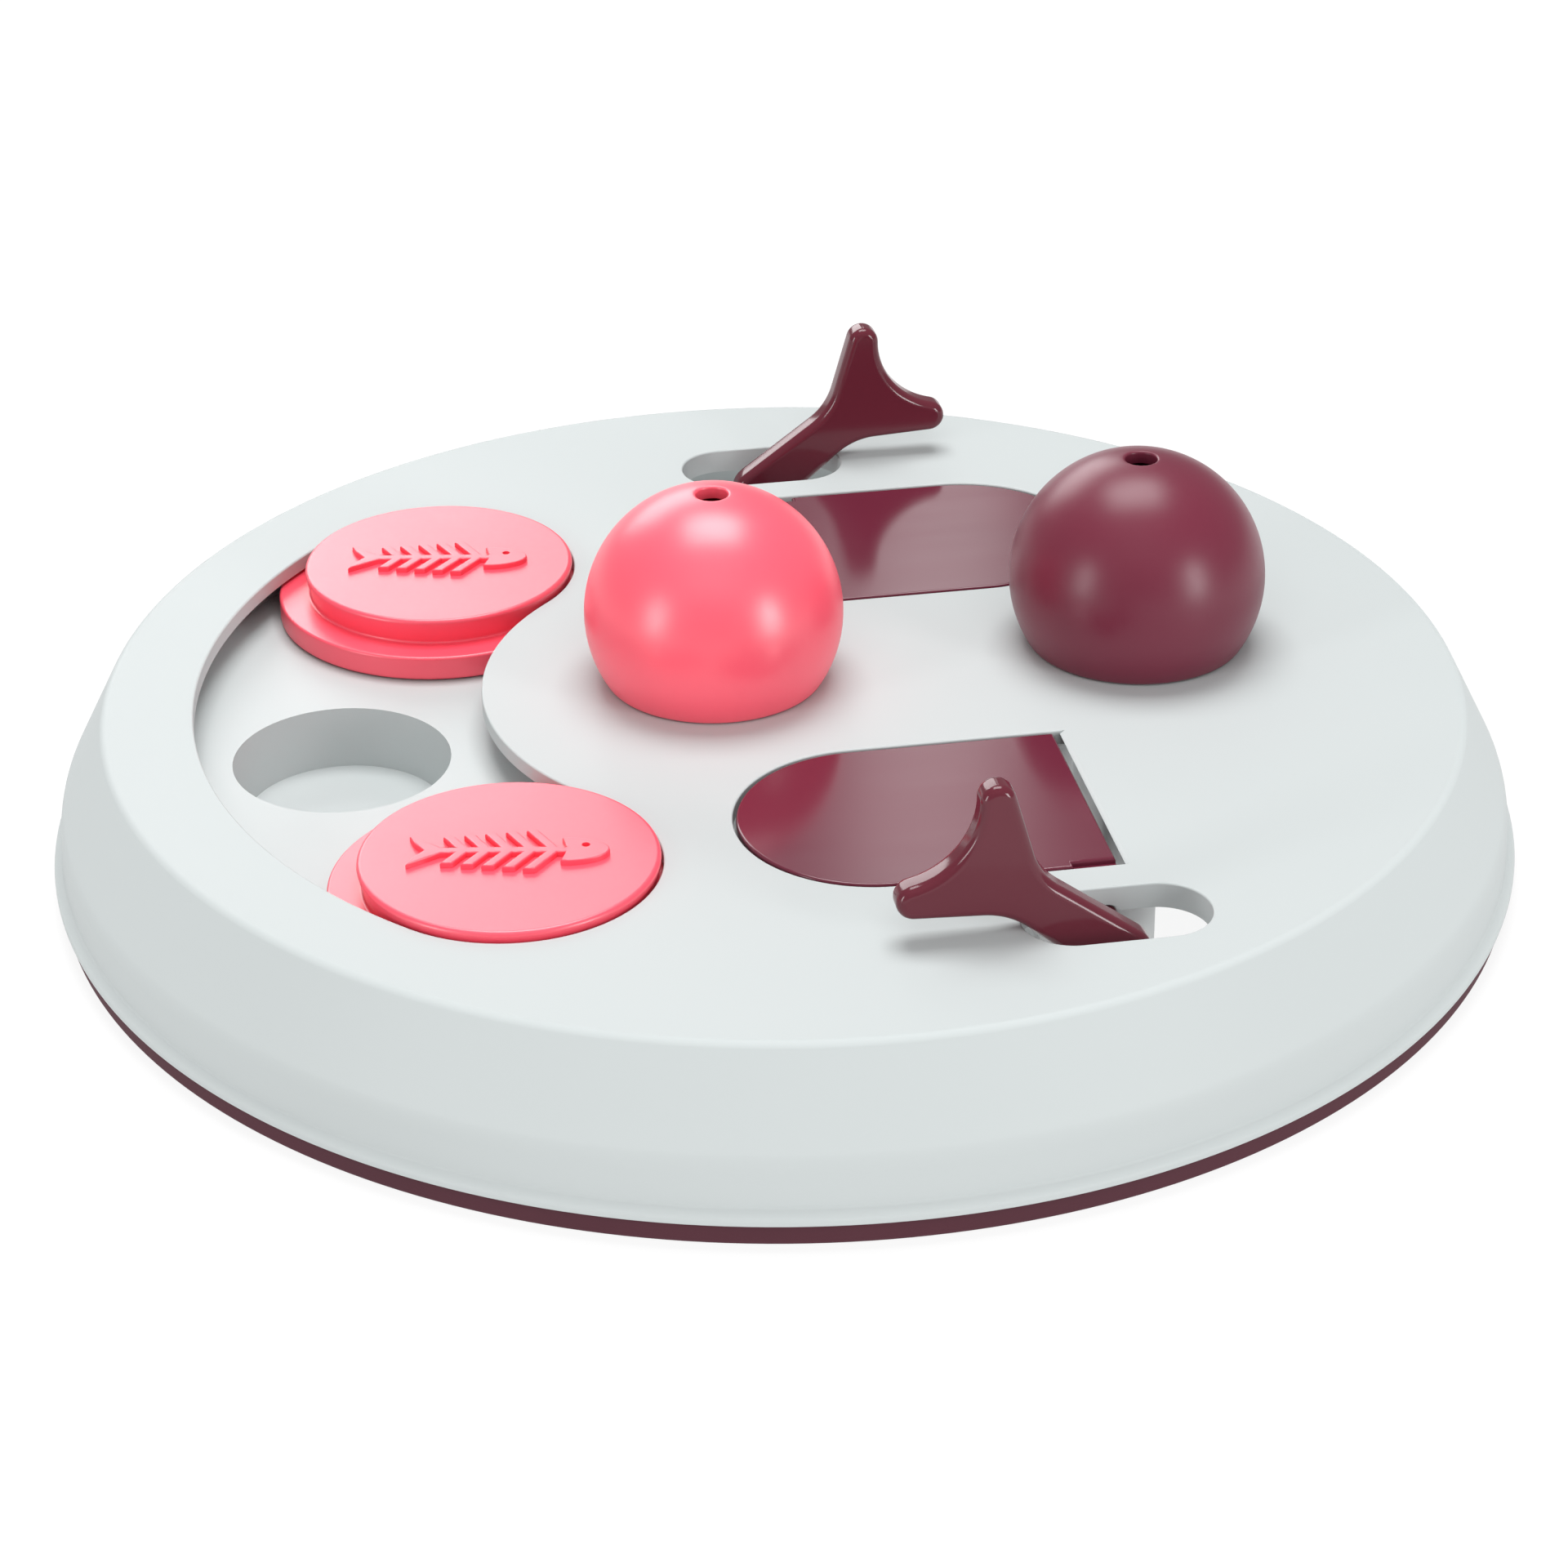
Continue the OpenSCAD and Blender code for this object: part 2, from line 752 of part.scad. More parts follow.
module front_lever() {
    lever();
}

module back_lever() {
    at_back()
        lever();
}

// The fishbone: tail, spine, slanted ribs and head, in plan and centred
module fishbone() {
    head_len = relief_len * 0.24;
    tail_len = relief_len * 0.2;
    back_x = -relief_len / 2;
    nose_x = relief_len / 2;
    rib_from = back_x + tail_len;
    rib_to = nose_x - head_len;
    translate([back_x + tail_len / 2, -bone_w / 2])
        square([relief_len - tail_len / 2 - head_len / 2, bone_w]);
    polygon([[rib_from, 0], [back_x, relief_w * 0.36], [back_x + tail_len * 0.4, 0], [back_x, -relief_w * 0.36]]);
    polygon([[nose_x, 0], [rib_to + head_len * 0.4, relief_w * 0.32], [rib_to, relief_w * 0.3],
             [rib_to, -relief_w * 0.3], [rib_to + head_len * 0.4, -relief_w * 0.32]]);
    for (i = [0 : rib_count - 1], side = [-1, 1]) {
        x = rib_from + (rib_to - rib_from) * (i + 0.7) / rib_count;
        rib_len = relief_w / 2 * (0.6 + 0.4 * (i + 1) / rib_count) / cos(rib_slant);
        translate([x, 0])
            rotate(side * (90 + rib_slant))
                translate([0, -bone_w / 2])
                    square([rib_len, bone_w]);
    }
}

// A sliding disc in place, with its flange under the top plate
module sliding_disc(angle) {
    core_r = disc_foot_r - disc_wall;
    color(pink)
        at_track(angle) {
            difference() {
                rotate_extrude()
                    polygon(concat(
                        [[0, disc_z], [flange_r, disc_z], [flange_r, flange_z], [disc_foot_r, flange_z]],
                        arc([disc_r - disc_round, disc_top - disc_round], disc_round, 0, 90),
                        [[0, disc_top]]
                    ));
                translate([0, 0, disc_z - past])
                    cylinder(r = core_r, h = disc_top - disc_wall - disc_z + past);
            }
            translate([0, 0, disc_top - root])
                rotate([0, 0, relief_turn])
                    linear_extrude(relief_h + root)
                        fishbone();
        }
}

module front_sliding_disc() {
    sliding_disc(track_angle);
}

module back_sliding_disc() {
    sliding_disc(-track_angle);
}

// Half section of a dome, with its base at height 0 and its spigot below
function dome_section() =
    let (
        inner_r = dome_r - dome_wall,
        inner_rise = dome_rise - dome_wall,
        low = -asin(dome_waist / dome_r),
        inner_low = -asin((dome_waist - dome_wall) / inner_r),
        high = acos(dome_hole_r / dome_r),
        inner_high = acos(dome_hole_r / inner_r),
        steps = 3 * arc_steps,
        outer = [for (i = [0 : steps])
            let (a = low + (high - low) * i / steps)
                [dome_r * cos(a), dome_waist + (a < 0 ? dome_r : dome_rise) * sin(a)]],
        inner = [for (i = [steps : -1 : 0])
            let (a = inner_low + (inner_high - inner_low) * i / steps)
                [inner_r * cos(a), dome_waist + (a < 0 ? inner_r : inner_rise) * sin(a)]]
    )
    concat(outer, inner, [
        [spigot_r - spigot_t, dome_wall],
        [spigot_r - spigot_t, -spigot_len],
        [spigot_r, -spigot_len],
        [spigot_r, 0]
    ]);

// A hollow dome on its place
module dome(place) {
    translate([place[0], place[1], dome_z])
        rotate_extrude()
            polygon(dome_section());
}

module pink_dome() {
    color(pink)
        dome(dome_places[0]);
}

module burgundy_dome() {
    color(burgundy)
        dome(dome_places[1]);
}

module track_tray_screws() {
    screws(track_screws);
}

module front_tray_screws() {
    screws(tray_screws);
}

module back_tray_screws() {
    at_back()
        screws(tray_screws);
}

module dome_cup_screws() {
    screws(cup_screws);
}

top_shell();
non_slip_ring();
track_tray();
front_treat_tray();
back_treat_tray();
pink_dome_cup();
burgundy_dome_cup();
front_lid();
front_axle();
front_lever();
back_lid();
back_axle();
back_lever();
front_sliding_disc();
back_sliding_disc();
pink_dome();
burgundy_dome();
track_tray_screws();
front_tray_screws();
back_tray_screws();
dome_cup_screws();
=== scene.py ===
"""Looks of a round cat activity board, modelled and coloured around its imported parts."""

import math

import bmesh
import bpy
from bpy.props import FloatProperty, FloatVectorProperty, IntProperty, PointerProperty
from mathutils import Matrix, Vector


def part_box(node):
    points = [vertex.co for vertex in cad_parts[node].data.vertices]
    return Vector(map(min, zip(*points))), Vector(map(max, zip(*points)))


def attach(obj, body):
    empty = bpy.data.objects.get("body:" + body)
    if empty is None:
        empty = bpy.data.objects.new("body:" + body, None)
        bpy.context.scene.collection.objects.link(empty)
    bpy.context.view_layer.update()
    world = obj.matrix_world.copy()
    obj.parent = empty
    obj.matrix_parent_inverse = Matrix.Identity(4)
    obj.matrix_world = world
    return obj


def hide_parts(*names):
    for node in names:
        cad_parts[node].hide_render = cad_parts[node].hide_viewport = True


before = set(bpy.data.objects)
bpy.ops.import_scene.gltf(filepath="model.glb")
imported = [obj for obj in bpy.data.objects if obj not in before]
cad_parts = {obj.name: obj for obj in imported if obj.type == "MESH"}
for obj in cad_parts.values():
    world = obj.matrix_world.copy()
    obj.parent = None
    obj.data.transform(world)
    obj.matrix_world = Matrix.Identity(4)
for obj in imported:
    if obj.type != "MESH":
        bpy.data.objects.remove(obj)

bl_info = {
    "name": "Cat activity board",
    "version": (1, 0, 0),
    "blender": (4, 5, 0),
    "location": "3D View > Sidebar > Activity board",
    "description": "Models and colours a round activity board around its packed parts",
    "category": "Object",
}

MM = 0.001
# Vertices closer than this are one
MERGE = 0.002 * MM
# How far a level edge may stray from its height
LEVEL = 0.02 * MM
# How far joined solids reach into each other
OVERLAP = 0.5 * MM
# Gap between an axle and the bore in its lid
BORE_GAP = 0.04 * MM
# Vertices of a group of screws that are this close belong to one screw
SCREW_REACH = 8 * MM
# Steps of a full turn round the board, round a disc or dome, and round the larger holes
BOARD_STEPS = 256
PIECE_STEPS = 128
HOLE_STEPS = 96
# Width of the camera's sensor in millimetres
SENSOR = 36
UP = Vector((0, 0, 1))
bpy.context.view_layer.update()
SHELL_LOW, SHELL_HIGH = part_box("top_shell")
DISC_LOW, DISC_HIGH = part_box("front_sliding_disc")
BACK_DISC_LOW, BACK_DISC_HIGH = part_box("back_sliding_disc")
LEVER_LOW, LEVER_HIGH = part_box("front_lever")
LEVER_ROW = -(LEVER_LOW.y + LEVER_HIGH.y) / 2
LID_LOW, LID_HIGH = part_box("front_lid")
PINK_LOW, PINK_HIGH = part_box("pink_dome")
BURGUNDY_LOW, BURGUNDY_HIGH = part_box("burgundy_dome")


def length(name, description, default):
    """A size in metres that a user can change."""
    return FloatProperty(name=name, description=description, default=default, unit="LENGTH", precision=5)


def angle(name, description, degrees):
    """An angle that a user can change."""
    return FloatProperty(name=name, description=description, default=math.radians(degrees), subtype="ANGLE")


def colour(name, description, default):
    """A linear colour that a user can change."""
    return FloatVectorProperty(
        name=name, description=description, default=default, size=3, subtype="COLOR", min=0, max=1
    )


def power(name, description, default):
    """A light's power in watts."""
    return FloatProperty(name=name, description=description, default=default, unit="POWER", min=0)


def brightness(name, description, default):
    """A light's strength, as a plain number."""
    return FloatProperty(name=name, description=description, default=default, min=0)


class ShellSizes(bpy.types.PropertyGroup):
    """Sizes of the white board and of the ring under it."""

    radius: length("Radius", "Outer radius of the board at its lip", SHELL_HIGH.x)
    top: length("Top", "Height of the top face above the table", SHELL_HIGH.z)
    plate: length("Plate", "Thickness of the top plate", 2.4 * MM)
    skirt: length("Skirt", "Level thickness of the sloping skirt", 2.8 * MM)
    edge_inset: length("Edge inset", "How far the top edge lies inside the lip", 9.2 * MM)
    edge_round: length("Edge rounding", "Rounding where the top face meets the slope", 1.5 * MM)
    lip: length("Lip", "Height of the upright lip above the ring", 1.1 * MM)
    brim_width: length("Brim width", "Width of the sloping ledge above the lip", 1.4 * MM)
    brim: length("Brim", "Height of that ledge", 1.1 * MM)
    band: length("Band", "Height of the steep band above the ledge", 6.7 * MM)
    band_inset: length("Band inset", "How far the band leans in at its top", 0.3 * MM)
    band_round: length("Band rounding", "Width of the soft bend between the slope and the band", 1.6 * MM)
    lip_round: length("Lip rounding", "Rounding of the lip and of the ledge above it", 0.35 * MM)
    foot_width: length("Foot width", "Width of the foot under the skirt", 9 * MM)
    foot: length("Foot", "Thickness of the foot", 3.2 * MM)
    ring: length("Ring", "Height of the ring under the foot", SHELL_LOW.z)
    ring_width: length("Ring width", "Width of the ring", 7.2 * MM)
    ring_inset: length("Ring inset", "How far the ring lies inside the lip", 0.9 * MM)
    tongue_width: length("Tongue width", "Width of the tongue that holds the ring", 2 * MM)
    tongue: length("Tongue", "Height of that tongue", 1.8 * MM)
    tongue_gap: length("Tongue gap", "Gap between the tongue and its groove", 0.1 * MM)
    ring_round: length("Ring rounding", "Rounding of the ring's lower edges", 0.6 * MM)
    ring_top_round: length("Ring top rounding", "Rounding of the ring's outer top edge", 0.35 * MM)
    rim_round: length("Rim rounding", "Rounding of the rims of the openings", 0.55 * MM)
    boss: length("Boss", "Radius of a screw boss under the plate", 3.2 * MM)
    boss_drop: length("Boss drop", "Length of a screw boss", 6 * MM)


class TrackSizes(bpy.types.PropertyGroup):
    """Sizes of the channel, of the discs in it and of their fishbones."""

    path: length("Path", "Radius of the path of the disc centres", 69.5 * MM)
    half_angle: angle("Half angle", "Angle from the middle of the track to a disc at its end", 45.2)
    gap: length("Gap", "Gap between a disc and the channel's wall", 0.3 * MM)
    disc: length("Disc", "Radius of a disc at its top", 22 * MM)
    disc_round: length("Disc rounding", "Rounding of a disc's top edge", 0.7 * MM)
    draft: length("Draft", "How much a disc narrows down to its flange", 0.8 * MM)
    flange: length("Flange", "Radius of the flange", (DISC_HIGH.x - DISC_LOW.x) / 2)
    flange_height: length("Flange height", "Thickness of the flange", 4 * MM)
    flange_round: length("Flange rounding", "Rounding of the flange's edges", 0.5 * MM)
    wall: length("Wall", "Wall around a disc's cored underside", 2.4 * MM)
    relief: length("Relief", "Room for the fishbone above a disc's top face", 1.2 * MM)
    bone_rise: length("Fishbone rise", "Height of the fishbone on a disc", 0.9 * MM)
    bone_length: length("Fishbone length", "Length of the fishbone from tail to nose", 29.2 * MM)
    bone_width: length("Fishbone width", "Width across the longest ribs", 11 * MM)
    bone: length("Bone", "Width of the spine and the ribs", 1.5 * MM)
    bone_root: length("Fishbone root", "How far the fishbone reaches into its disc", 0.4 * MM)
    bone_round: length("Fishbone rounding", "Rounding of the fishbone's edges", 0.25 * MM)
    ribs: IntProperty(name="Ribs", description="Number of ribs on each side", default=5, min=1)
    slant: angle("Slant", "Slant of the ribs towards the tail", 32)
    turn: angle("Turn", "Turn of the fishbone from the X axis", -9.9)


class FlipSizes(bpy.types.PropertyGroup):
    """Sizes of the lids, of their levers and of the slots."""

    middle: length("Middle", "X of the point that the back unit is turned about", 22 * MM)
    lid_row: length("Lid row", "Distance of a lid's middle line from the X axis", 45.65 * MM)
    lid_width: length("Lid width", "Width of a lid", LID_HIGH.y - LID_LOW.y)
    lid_length: length("Lid length", "Length of a lid", 52.2 * MM)
    lid: length("Lid", "Thickness of a lid", 2.2 * MM)
    lid_gap: length("Lid gap", "Gap round a closed lid", 0.5 * MM)
    lid_round: length("Lid rounding", "Rounding of a lid's top edge", 0.45 * MM)
    lid_tail: length("Lid tail", "How far the hinge end reaches past the axle", 3.3 * MM)
    hinge_wall: length("Hinge wall", "Distance from the axle to the plate behind the hinge end", 4.45 * MM)
    swing: length("Swing", "Radius about the axle that the plate leaves free for the hinge end", 6.54 * MM)
    brow_depth: length("Brow depth", "Depth of the bevel on the plate behind the hinge end", 0.5 * MM)
    brow_width: length("Brow width", "Width of that bevel", 0.8 * MM)
    axle_x: length("Axle X", "X of the front axle", 34 * MM)
    axle_depth: length("Axle depth", "Depth of the axle below the top face", 5.3 * MM)
    axle: length("Axle", "Radius of an axle", 2 * MM)
    axle_gap: length("Axle gap", "Gap between an axle and its hole in the slot's wall", 0.4 * MM)
    barrel: length("Barrel", "Radius of the barrel under the hinge end", 3.8 * MM)
    step_depth: length("Step depth", "Depth of the step at the lever-side hinge corner", 0.9 * MM)
    step_length: length("Step length", "Length of that step", 6.5 * MM)
    step_width: length("Step width", "Width of that step", 1.3 * MM)
    lever_row: length("Lever row", "Distance of a lever's middle from the X axis", LEVER_ROW)
    lever: length("Lever", "Thickness of a lever", LEVER_HIGH.y - LEVER_LOW.y)
    lean: angle("Lean", "Lean of a lever above level with its lid closed", 38.5)
    hub: length("Hub", "Radius of a lever's hub round its axle", 4.4 * MM)
    neck: length("Neck", "Half the width of a lever's neck at its waist", 3.8 * MM)
    waist_reach: length("Waist reach", "Distance from the axle to that waist", 15.3 * MM)
    waist: length("Waist", "Radius of the curve along the waist", 10.8 * MM)
    notch_reach: length("Notch reach", "Distance from the axle to the notch between the tips", 30.4 * MM)
    tip_reach: length("Tip reach", "Distance from the axle to the middles of the tips", 31.1 * MM)
    tip_spread: length("Tip spread", "Distance of a tip's middle from the lever's middle line", 9.4 * MM)
    tip: length("Tip", "Radius of a tail tip", 2.6 * MM)
    rim: length("Lever rim", "Width of a lever's rounded rim", 1.4 * MM)
    slot_x: length("Slot X", "X of the middle of the front slot", 33.55 * MM)
    slot_row: length("Slot row", "Distance of a slot's middle line from the X axis", 79.7 * MM)
    slot_length: length("Slot length", "Length of a lever slot", 27.7 * MM)
    slot_width: length("Slot width", "Width of a lever slot", 14.6 * MM)
    slot_depth: length("Slot depth", "Depth of a slot's wall", 4 * MM)
    collar: length("Collar", "Thickness of the collar round a slot", 1.6 * MM)


class DomeSizes(bpy.types.PropertyGroup):
    """Sizes of the hollow domes."""

    radius: length("Radius", "Radius of a dome", (PINK_HIGH.x - PINK_LOW.x) / 2)
    rise: length("Rise", "Height of the crown above the widest level", 20.3 * MM)
    waist: length("Waist", "Height of the widest level above the base", 11 * MM)
    base: length("Base", "Height of the base above the table", 27.35 * MM)
    wall: length("Wall", "Wall of a dome", 2 * MM)
    hole: length("Hole", "Radius of the hole in the crown", 2.5 * MM)
    hole_round: length("Hole rounding", "Rounding of that hole's edge", 0.45 * MM)
    base_round: length("Base rounding", "Rounding of the base's outer edge", 0.5 * MM)
    spigot: length("Spigot", "Radius of the spigot under a dome", 14.3 * MM)
    spigot_wall: length("Spigot wall", "Wall of that spigot", 1.8 * MM)
    spigot_drop: length("Spigot drop", "Length of that spigot", 3 * MM)
    cup: length("Cup", "Radius of the hole in the plate under a dome", 14.6 * MM)


class Finishes(bpy.types.PropertyGroup):
    """Colours of the plastics, the rubber and the steel."""

    shell: colour("Shell", "White of the board", (0.53, 0.565, 0.565))
    tray: colour("Trays", "White of the track tray and the cups", (0.52, 0.555, 0.555))
    treat_tray: colour("Treat trays", "Milky white of the trays under the lids", (0.85, 0.88, 0.88))
    disc: colour("Discs", "Pink of the sliding discs", (0.95, 0.075, 0.125))
    pink_dome: colour("Pink dome", "Pink of the dome", (0.98, 0.1, 0.155))
    burgundy_dome: colour("Burgundy dome", "Burgundy of the dome", (0.156, 0.02, 0.042))
    lid: colour("Lids", "Burgundy of the lids", (0.132, 0.018, 0.037))
    lever: colour("Levers", "Burgundy of the levers and axles", (0.115, 0.017, 0.029))
    ring: colour("Ring", "Dark burgundy of the non-slip ring", (0.076, 0.022, 0.032))
    steel: colour("Steel", "Grey of the screws", (0.5, 0.51, 0.53))


class StageSettings(bpy.types.PropertyGroup):
    """Camera, floor and lights."""

    eye: FloatVectorProperty(
        name="Eye",
        description="Place of the camera",
        default=(-0.09698, -0.5557, 0.3209),
        size=3,
        subtype="XYZ",
        unit="LENGTH",
    )
    lens: FloatProperty(name="Lens", description="Focal length in millimetres", default=93.14, unit="CAMERA")
    lift: angle("Lift", "How far the camera looks above the middle of the base", 0.634)
    roll: angle("Roll", "Clockwise roll of the camera", 0.49)
    floor: colour("Floor", "Colour of the floor", (0.12, 0.12, 0.12))
    floor_size: length("Floor size", "Length of the floor's sides", 24)
    glow: brightness("Glow", "Light of the floor itself, as of a light table", 0.86)
    sky: brightness("Sky", "Strength of the light from all round", 0.33)
    overhead: power("Overhead", "Power of the light overhead", 12.8)
    left: power("Left", "Power of the tall light at the left", 3.7)
    right: power("Right", "Power of the tall light at the right", 5.0)
    front: power("Front", "Power of the wide light above the camera", 5.2)
    panel: power("Panel", "Power of the wide light behind", 14.0)
    strip: power("Strip", "Power of the tall strip light behind", 0.3)


class BoardSettings(bpy.types.PropertyGroup):
    """All settings of the board."""

    shell: PointerProperty(type=ShellSizes)
    track: PointerProperty(type=TrackSizes)
    flip: PointerProperty(type=FlipSizes)
    dome: PointerProperty(type=DomeSizes)
    finishes: PointerProperty(type=Finishes)
    stage: PointerProperty(type=StageSettings)


def settings():
    return bpy.context.scene.activity_board


class Wire:
    """A value in a material's nodes. Arithmetic on it adds Math nodes."""

    def __init__(self, finish, socket):
        self.finish, self.socket = finish, socket

    def math(self, operation, first, second):
        return self.finish.node("ShaderNodeMath", {"operation": operation}, {0: first, 1: second})

    def __add__(self, other):
        return self.math("ADD", self, other)

    __radd__ = __add__

    def __sub__(self, other):
        return self.math("SUBTRACT", self, other)

    def __rsub__(self, other):
        return self.math("SUBTRACT", other, self)

    def __mul__(self, other):
        return self.math("MULTIPLY", self, other)

    __rmul__ = __mul__


class Finish:
    """One material while it is wired: its nodes, its shader and the coordinates on the piece."""

    def __init__(self, name, **constants):
        self.material = bpy.data.materials.new(name)
        self.material.use_nodes = True
        self.nodes, self.links = self.material.node_tree.nodes, self.material.node_tree.links
        self.nodes.clear()
        self.shader = self.nodes.new("ShaderNodeBsdfPrincipled")
        output = self.nodes.new("ShaderNodeOutputMaterial")
        self.links.new(self.shader.outputs["BSDF"], output.inputs["Surface"])
        for socket, value in constants.items():
            self.shader.inputs[socket.replace("_", " ")].default_value = value
        self.place = self.node("ShaderNodeTexCoord", output="Object")

    def node(self, kind, setup=None, inputs=None, output=0):
        """A node of a kind, with its settings made first and then its sockets filled or linked."""
        made = self.nodes.new(kind)
        for name, value in (setup or {}).items():
            if name == "stops":
                for stop, (position, tint) in zip(made.color_ramp.elements, value):
                    stop.position, stop.color = position, tint
            else:
                setattr(made, name, value)
        for name, value in (inputs or {}).items():
            if isinstance(value, Wire):
                self.links.new(value.socket, made.inputs[name])
            else:
                made.inputs[name].default_value = value
        return Wire(self, made.outputs[output])

    def noise(self, scale, detail=2.0, roughness=0.5, stretch=(1, 1, 1)):
        """Noise over the piece from 0 to 1, with patches of about one metre divided by scale."""
        place = self.place
        if stretch != (1, 1, 1):
            place = self.node("ShaderNodeMapping", None, {"Vector": place, "Scale": stretch})
        sockets = {"Vector": place, "Scale": scale, "Detail": detail, "Roughness": roughness}
        return self.node("ShaderNodeTexNoise", None, sockets)

    def speckle(self, scale):
        """Cells over the piece, for the pits of a spark-eroded mould."""
        return self.node("ShaderNodeTexVoronoi", {"feature": "F1"}, {"Vector": self.place, "Scale": scale})

    def blend(self, share, first, second):
        """A colour between two colours."""
        return self.node(
            "ShaderNodeMix",
            {"data_type": "RGBA", "clamp_factor": True},
            {0: share, 6: first, 7: second},
            output=2,
        )

    def bump(self, height, strength, distance):
        """Small relief from a height between 0 and 1."""
        sockets = {"Height": height, "Strength": strength, "Distance": distance}
        return self.node("ShaderNodeBump", None, sockets)

    def feed(self, socket, wire):
        self.links.new(wire.socket, self.shader.inputs[socket])


def shade_of(tint, factor):
    """A colour made lighter or darker, with alpha."""
    return (*[min(1.0, part * factor) for part in tint], 1.0)


def moulded_plastic(name, tint, roughness, grain, spread=0.035, pit=2600, **constants):
    """Moulded plastic: faint cloudiness from the melt, a spark-eroded grain and an uneven sheen."""
    finish = Finish(name, **constants)
    cloud = finish.noise(26, detail=3)
    fleck = finish.noise(900, detail=2)
    mottle = cloud * 0.75 + fleck * 0.25
    finish.feed("Base Color", finish.blend(mottle, shade_of(tint, 1 - spread), shade_of(tint, 1 + spread)))
    finish.feed("Roughness", cloud * 0.08 + fleck * 0.06 + (roughness - 0.07))
    pits = finish.speckle(pit)
    finish.feed("Normal", finish.bump(pits * 0.6 + fleck * 0.4, grain, 0.03 * MM))
    return finish.material


def polished_plastic(name, tint, roughness, **constants):
    """Polished plastic: deep colour, a slight waviness and fine wiping marks in the gloss."""
    finish = Finish(name, **constants)
    cloud = finish.noise(30, detail=2)
    wipes = finish.noise(220, detail=4, roughness=0.65, stretch=(0.12, 1, 1))
    finish.feed("Base Color", finish.blend(cloud, shade_of(tint, 0.94), shade_of(tint, 1.06)))
    finish.feed("Roughness", wipes * 0.05 + cloud * 0.03 + (roughness - 0.04))
    finish.feed("Normal", finish.bump(cloud * 0.7 + wipes * 0.3, 0.04, 0.05 * MM))
    return finish.material


def soft_rubber(name, tint, roughness, **constants):
    """Rubber: matt, with dusty patches and a coarse skin."""
    finish = Finish(name, **constants)
    dust = finish.noise(60, detail=4, roughness=0.6)
    skin = finish.noise(1800, detail=3)
    finish.feed("Base Color", finish.blend(dust, shade_of(tint, 0.9), shade_of(tint, 1.14)))
    finish.feed("Roughness", dust * 0.1 + skin * 0.1 + (roughness - 0.1))
    finish.feed("Normal", finish.bump(skin, 0.25, 0.05 * MM))
    return finish.material


def turned_steel(name, tint):
    """Steel of the screws, with fine marks from turning."""
    finish = Finish(name, Metallic=1.0)
    marks = finish.noise(1500, detail=2, stretch=(1, 1, 6))
    finish.feed("Base Color", finish.blend(marks, shade_of(tint, 0.85), shade_of(tint, 1.1)))
    finish.feed("Roughness", marks * 0.2 + 0.24)
    finish.feed("Normal", finish.bump(marks, 0.15, 0.02 * MM))
    return finish.material


def pale_floor(name, tint, glow):
    """The plain pale floor, a light table with a faint unevenness."""
    finish = Finish(name, Roughness=0.9, Emission_Color=(1, 1, 1, 1), Emission_Strength=glow)
    cloud = finish.noise(3, detail=2)
    finish.feed("Base Color", finish.blend(cloud, shade_of(tint, 0.995), shade_of(tint, 1.005)))
    return finish.material


# The recipe of each finish, the colour that it uses, and its values
FINISHES = {
    "shell_white": (
        moulded_plastic,
        "shell",
        {"roughness": 0.46, "grain": 0.06, "spread": 0.008, "Specular_IOR_Level": 0.08},
    ),
    "tray_white": (moulded_plastic, "tray", {"roughness": 0.5, "grain": 0.08, "spread": 0.012}),
    "tray_milky": (
        moulded_plastic,
        "treat_tray",
        {
            "roughness": 0.5,
            "grain": 0.08,
            "spread": 0.012,
            "Subsurface_Weight": 1.0,
            "Subsurface_Radius": (1, 1, 1),
            "Subsurface_Scale": 15 * MM,
        },
    ),
    "disc_pink": (
        moulded_plastic,
        "disc",
        {"roughness": 0.36, "grain": 0.06, "spread": 0.03, "Specular_IOR_Level": 1.0},
    ),
    "dome_pink": (
        moulded_plastic,
        "pink_dome",
        {"roughness": 0.36, "grain": 0.08, "spread": 0.03, "pit": 1700, "Specular_IOR_Level": 0.95},
    ),
    "dome_burgundy": (
        moulded_plastic,
        "burgundy_dome",
        {"roughness": 0.36, "grain": 0.1, "spread": 0.06, "pit": 1700, "Specular_IOR_Level": 0.42},
    ),
    "lid_burgundy": (polished_plastic, "lid", {"roughness": 0.15}),
    "lever_burgundy": (polished_plastic, "lever", {"roughness": 0.14, "Specular_IOR_Level": 0.38}),
    "ring_rubber": (soft_rubber, "ring", {"roughness": 0.62, "Specular_IOR_Level": 0.2}),
    "screw_steel": (turned_steel, "steel", {}),
}


def finish_named(name):
    """The material of that name, made on its first use."""
    made = bpy.data.materials.get(name)
    if made:
        return made
    recipe, tint, values = FINISHES[name]
    return recipe(name, getattr(settings().finishes, tint), **values)


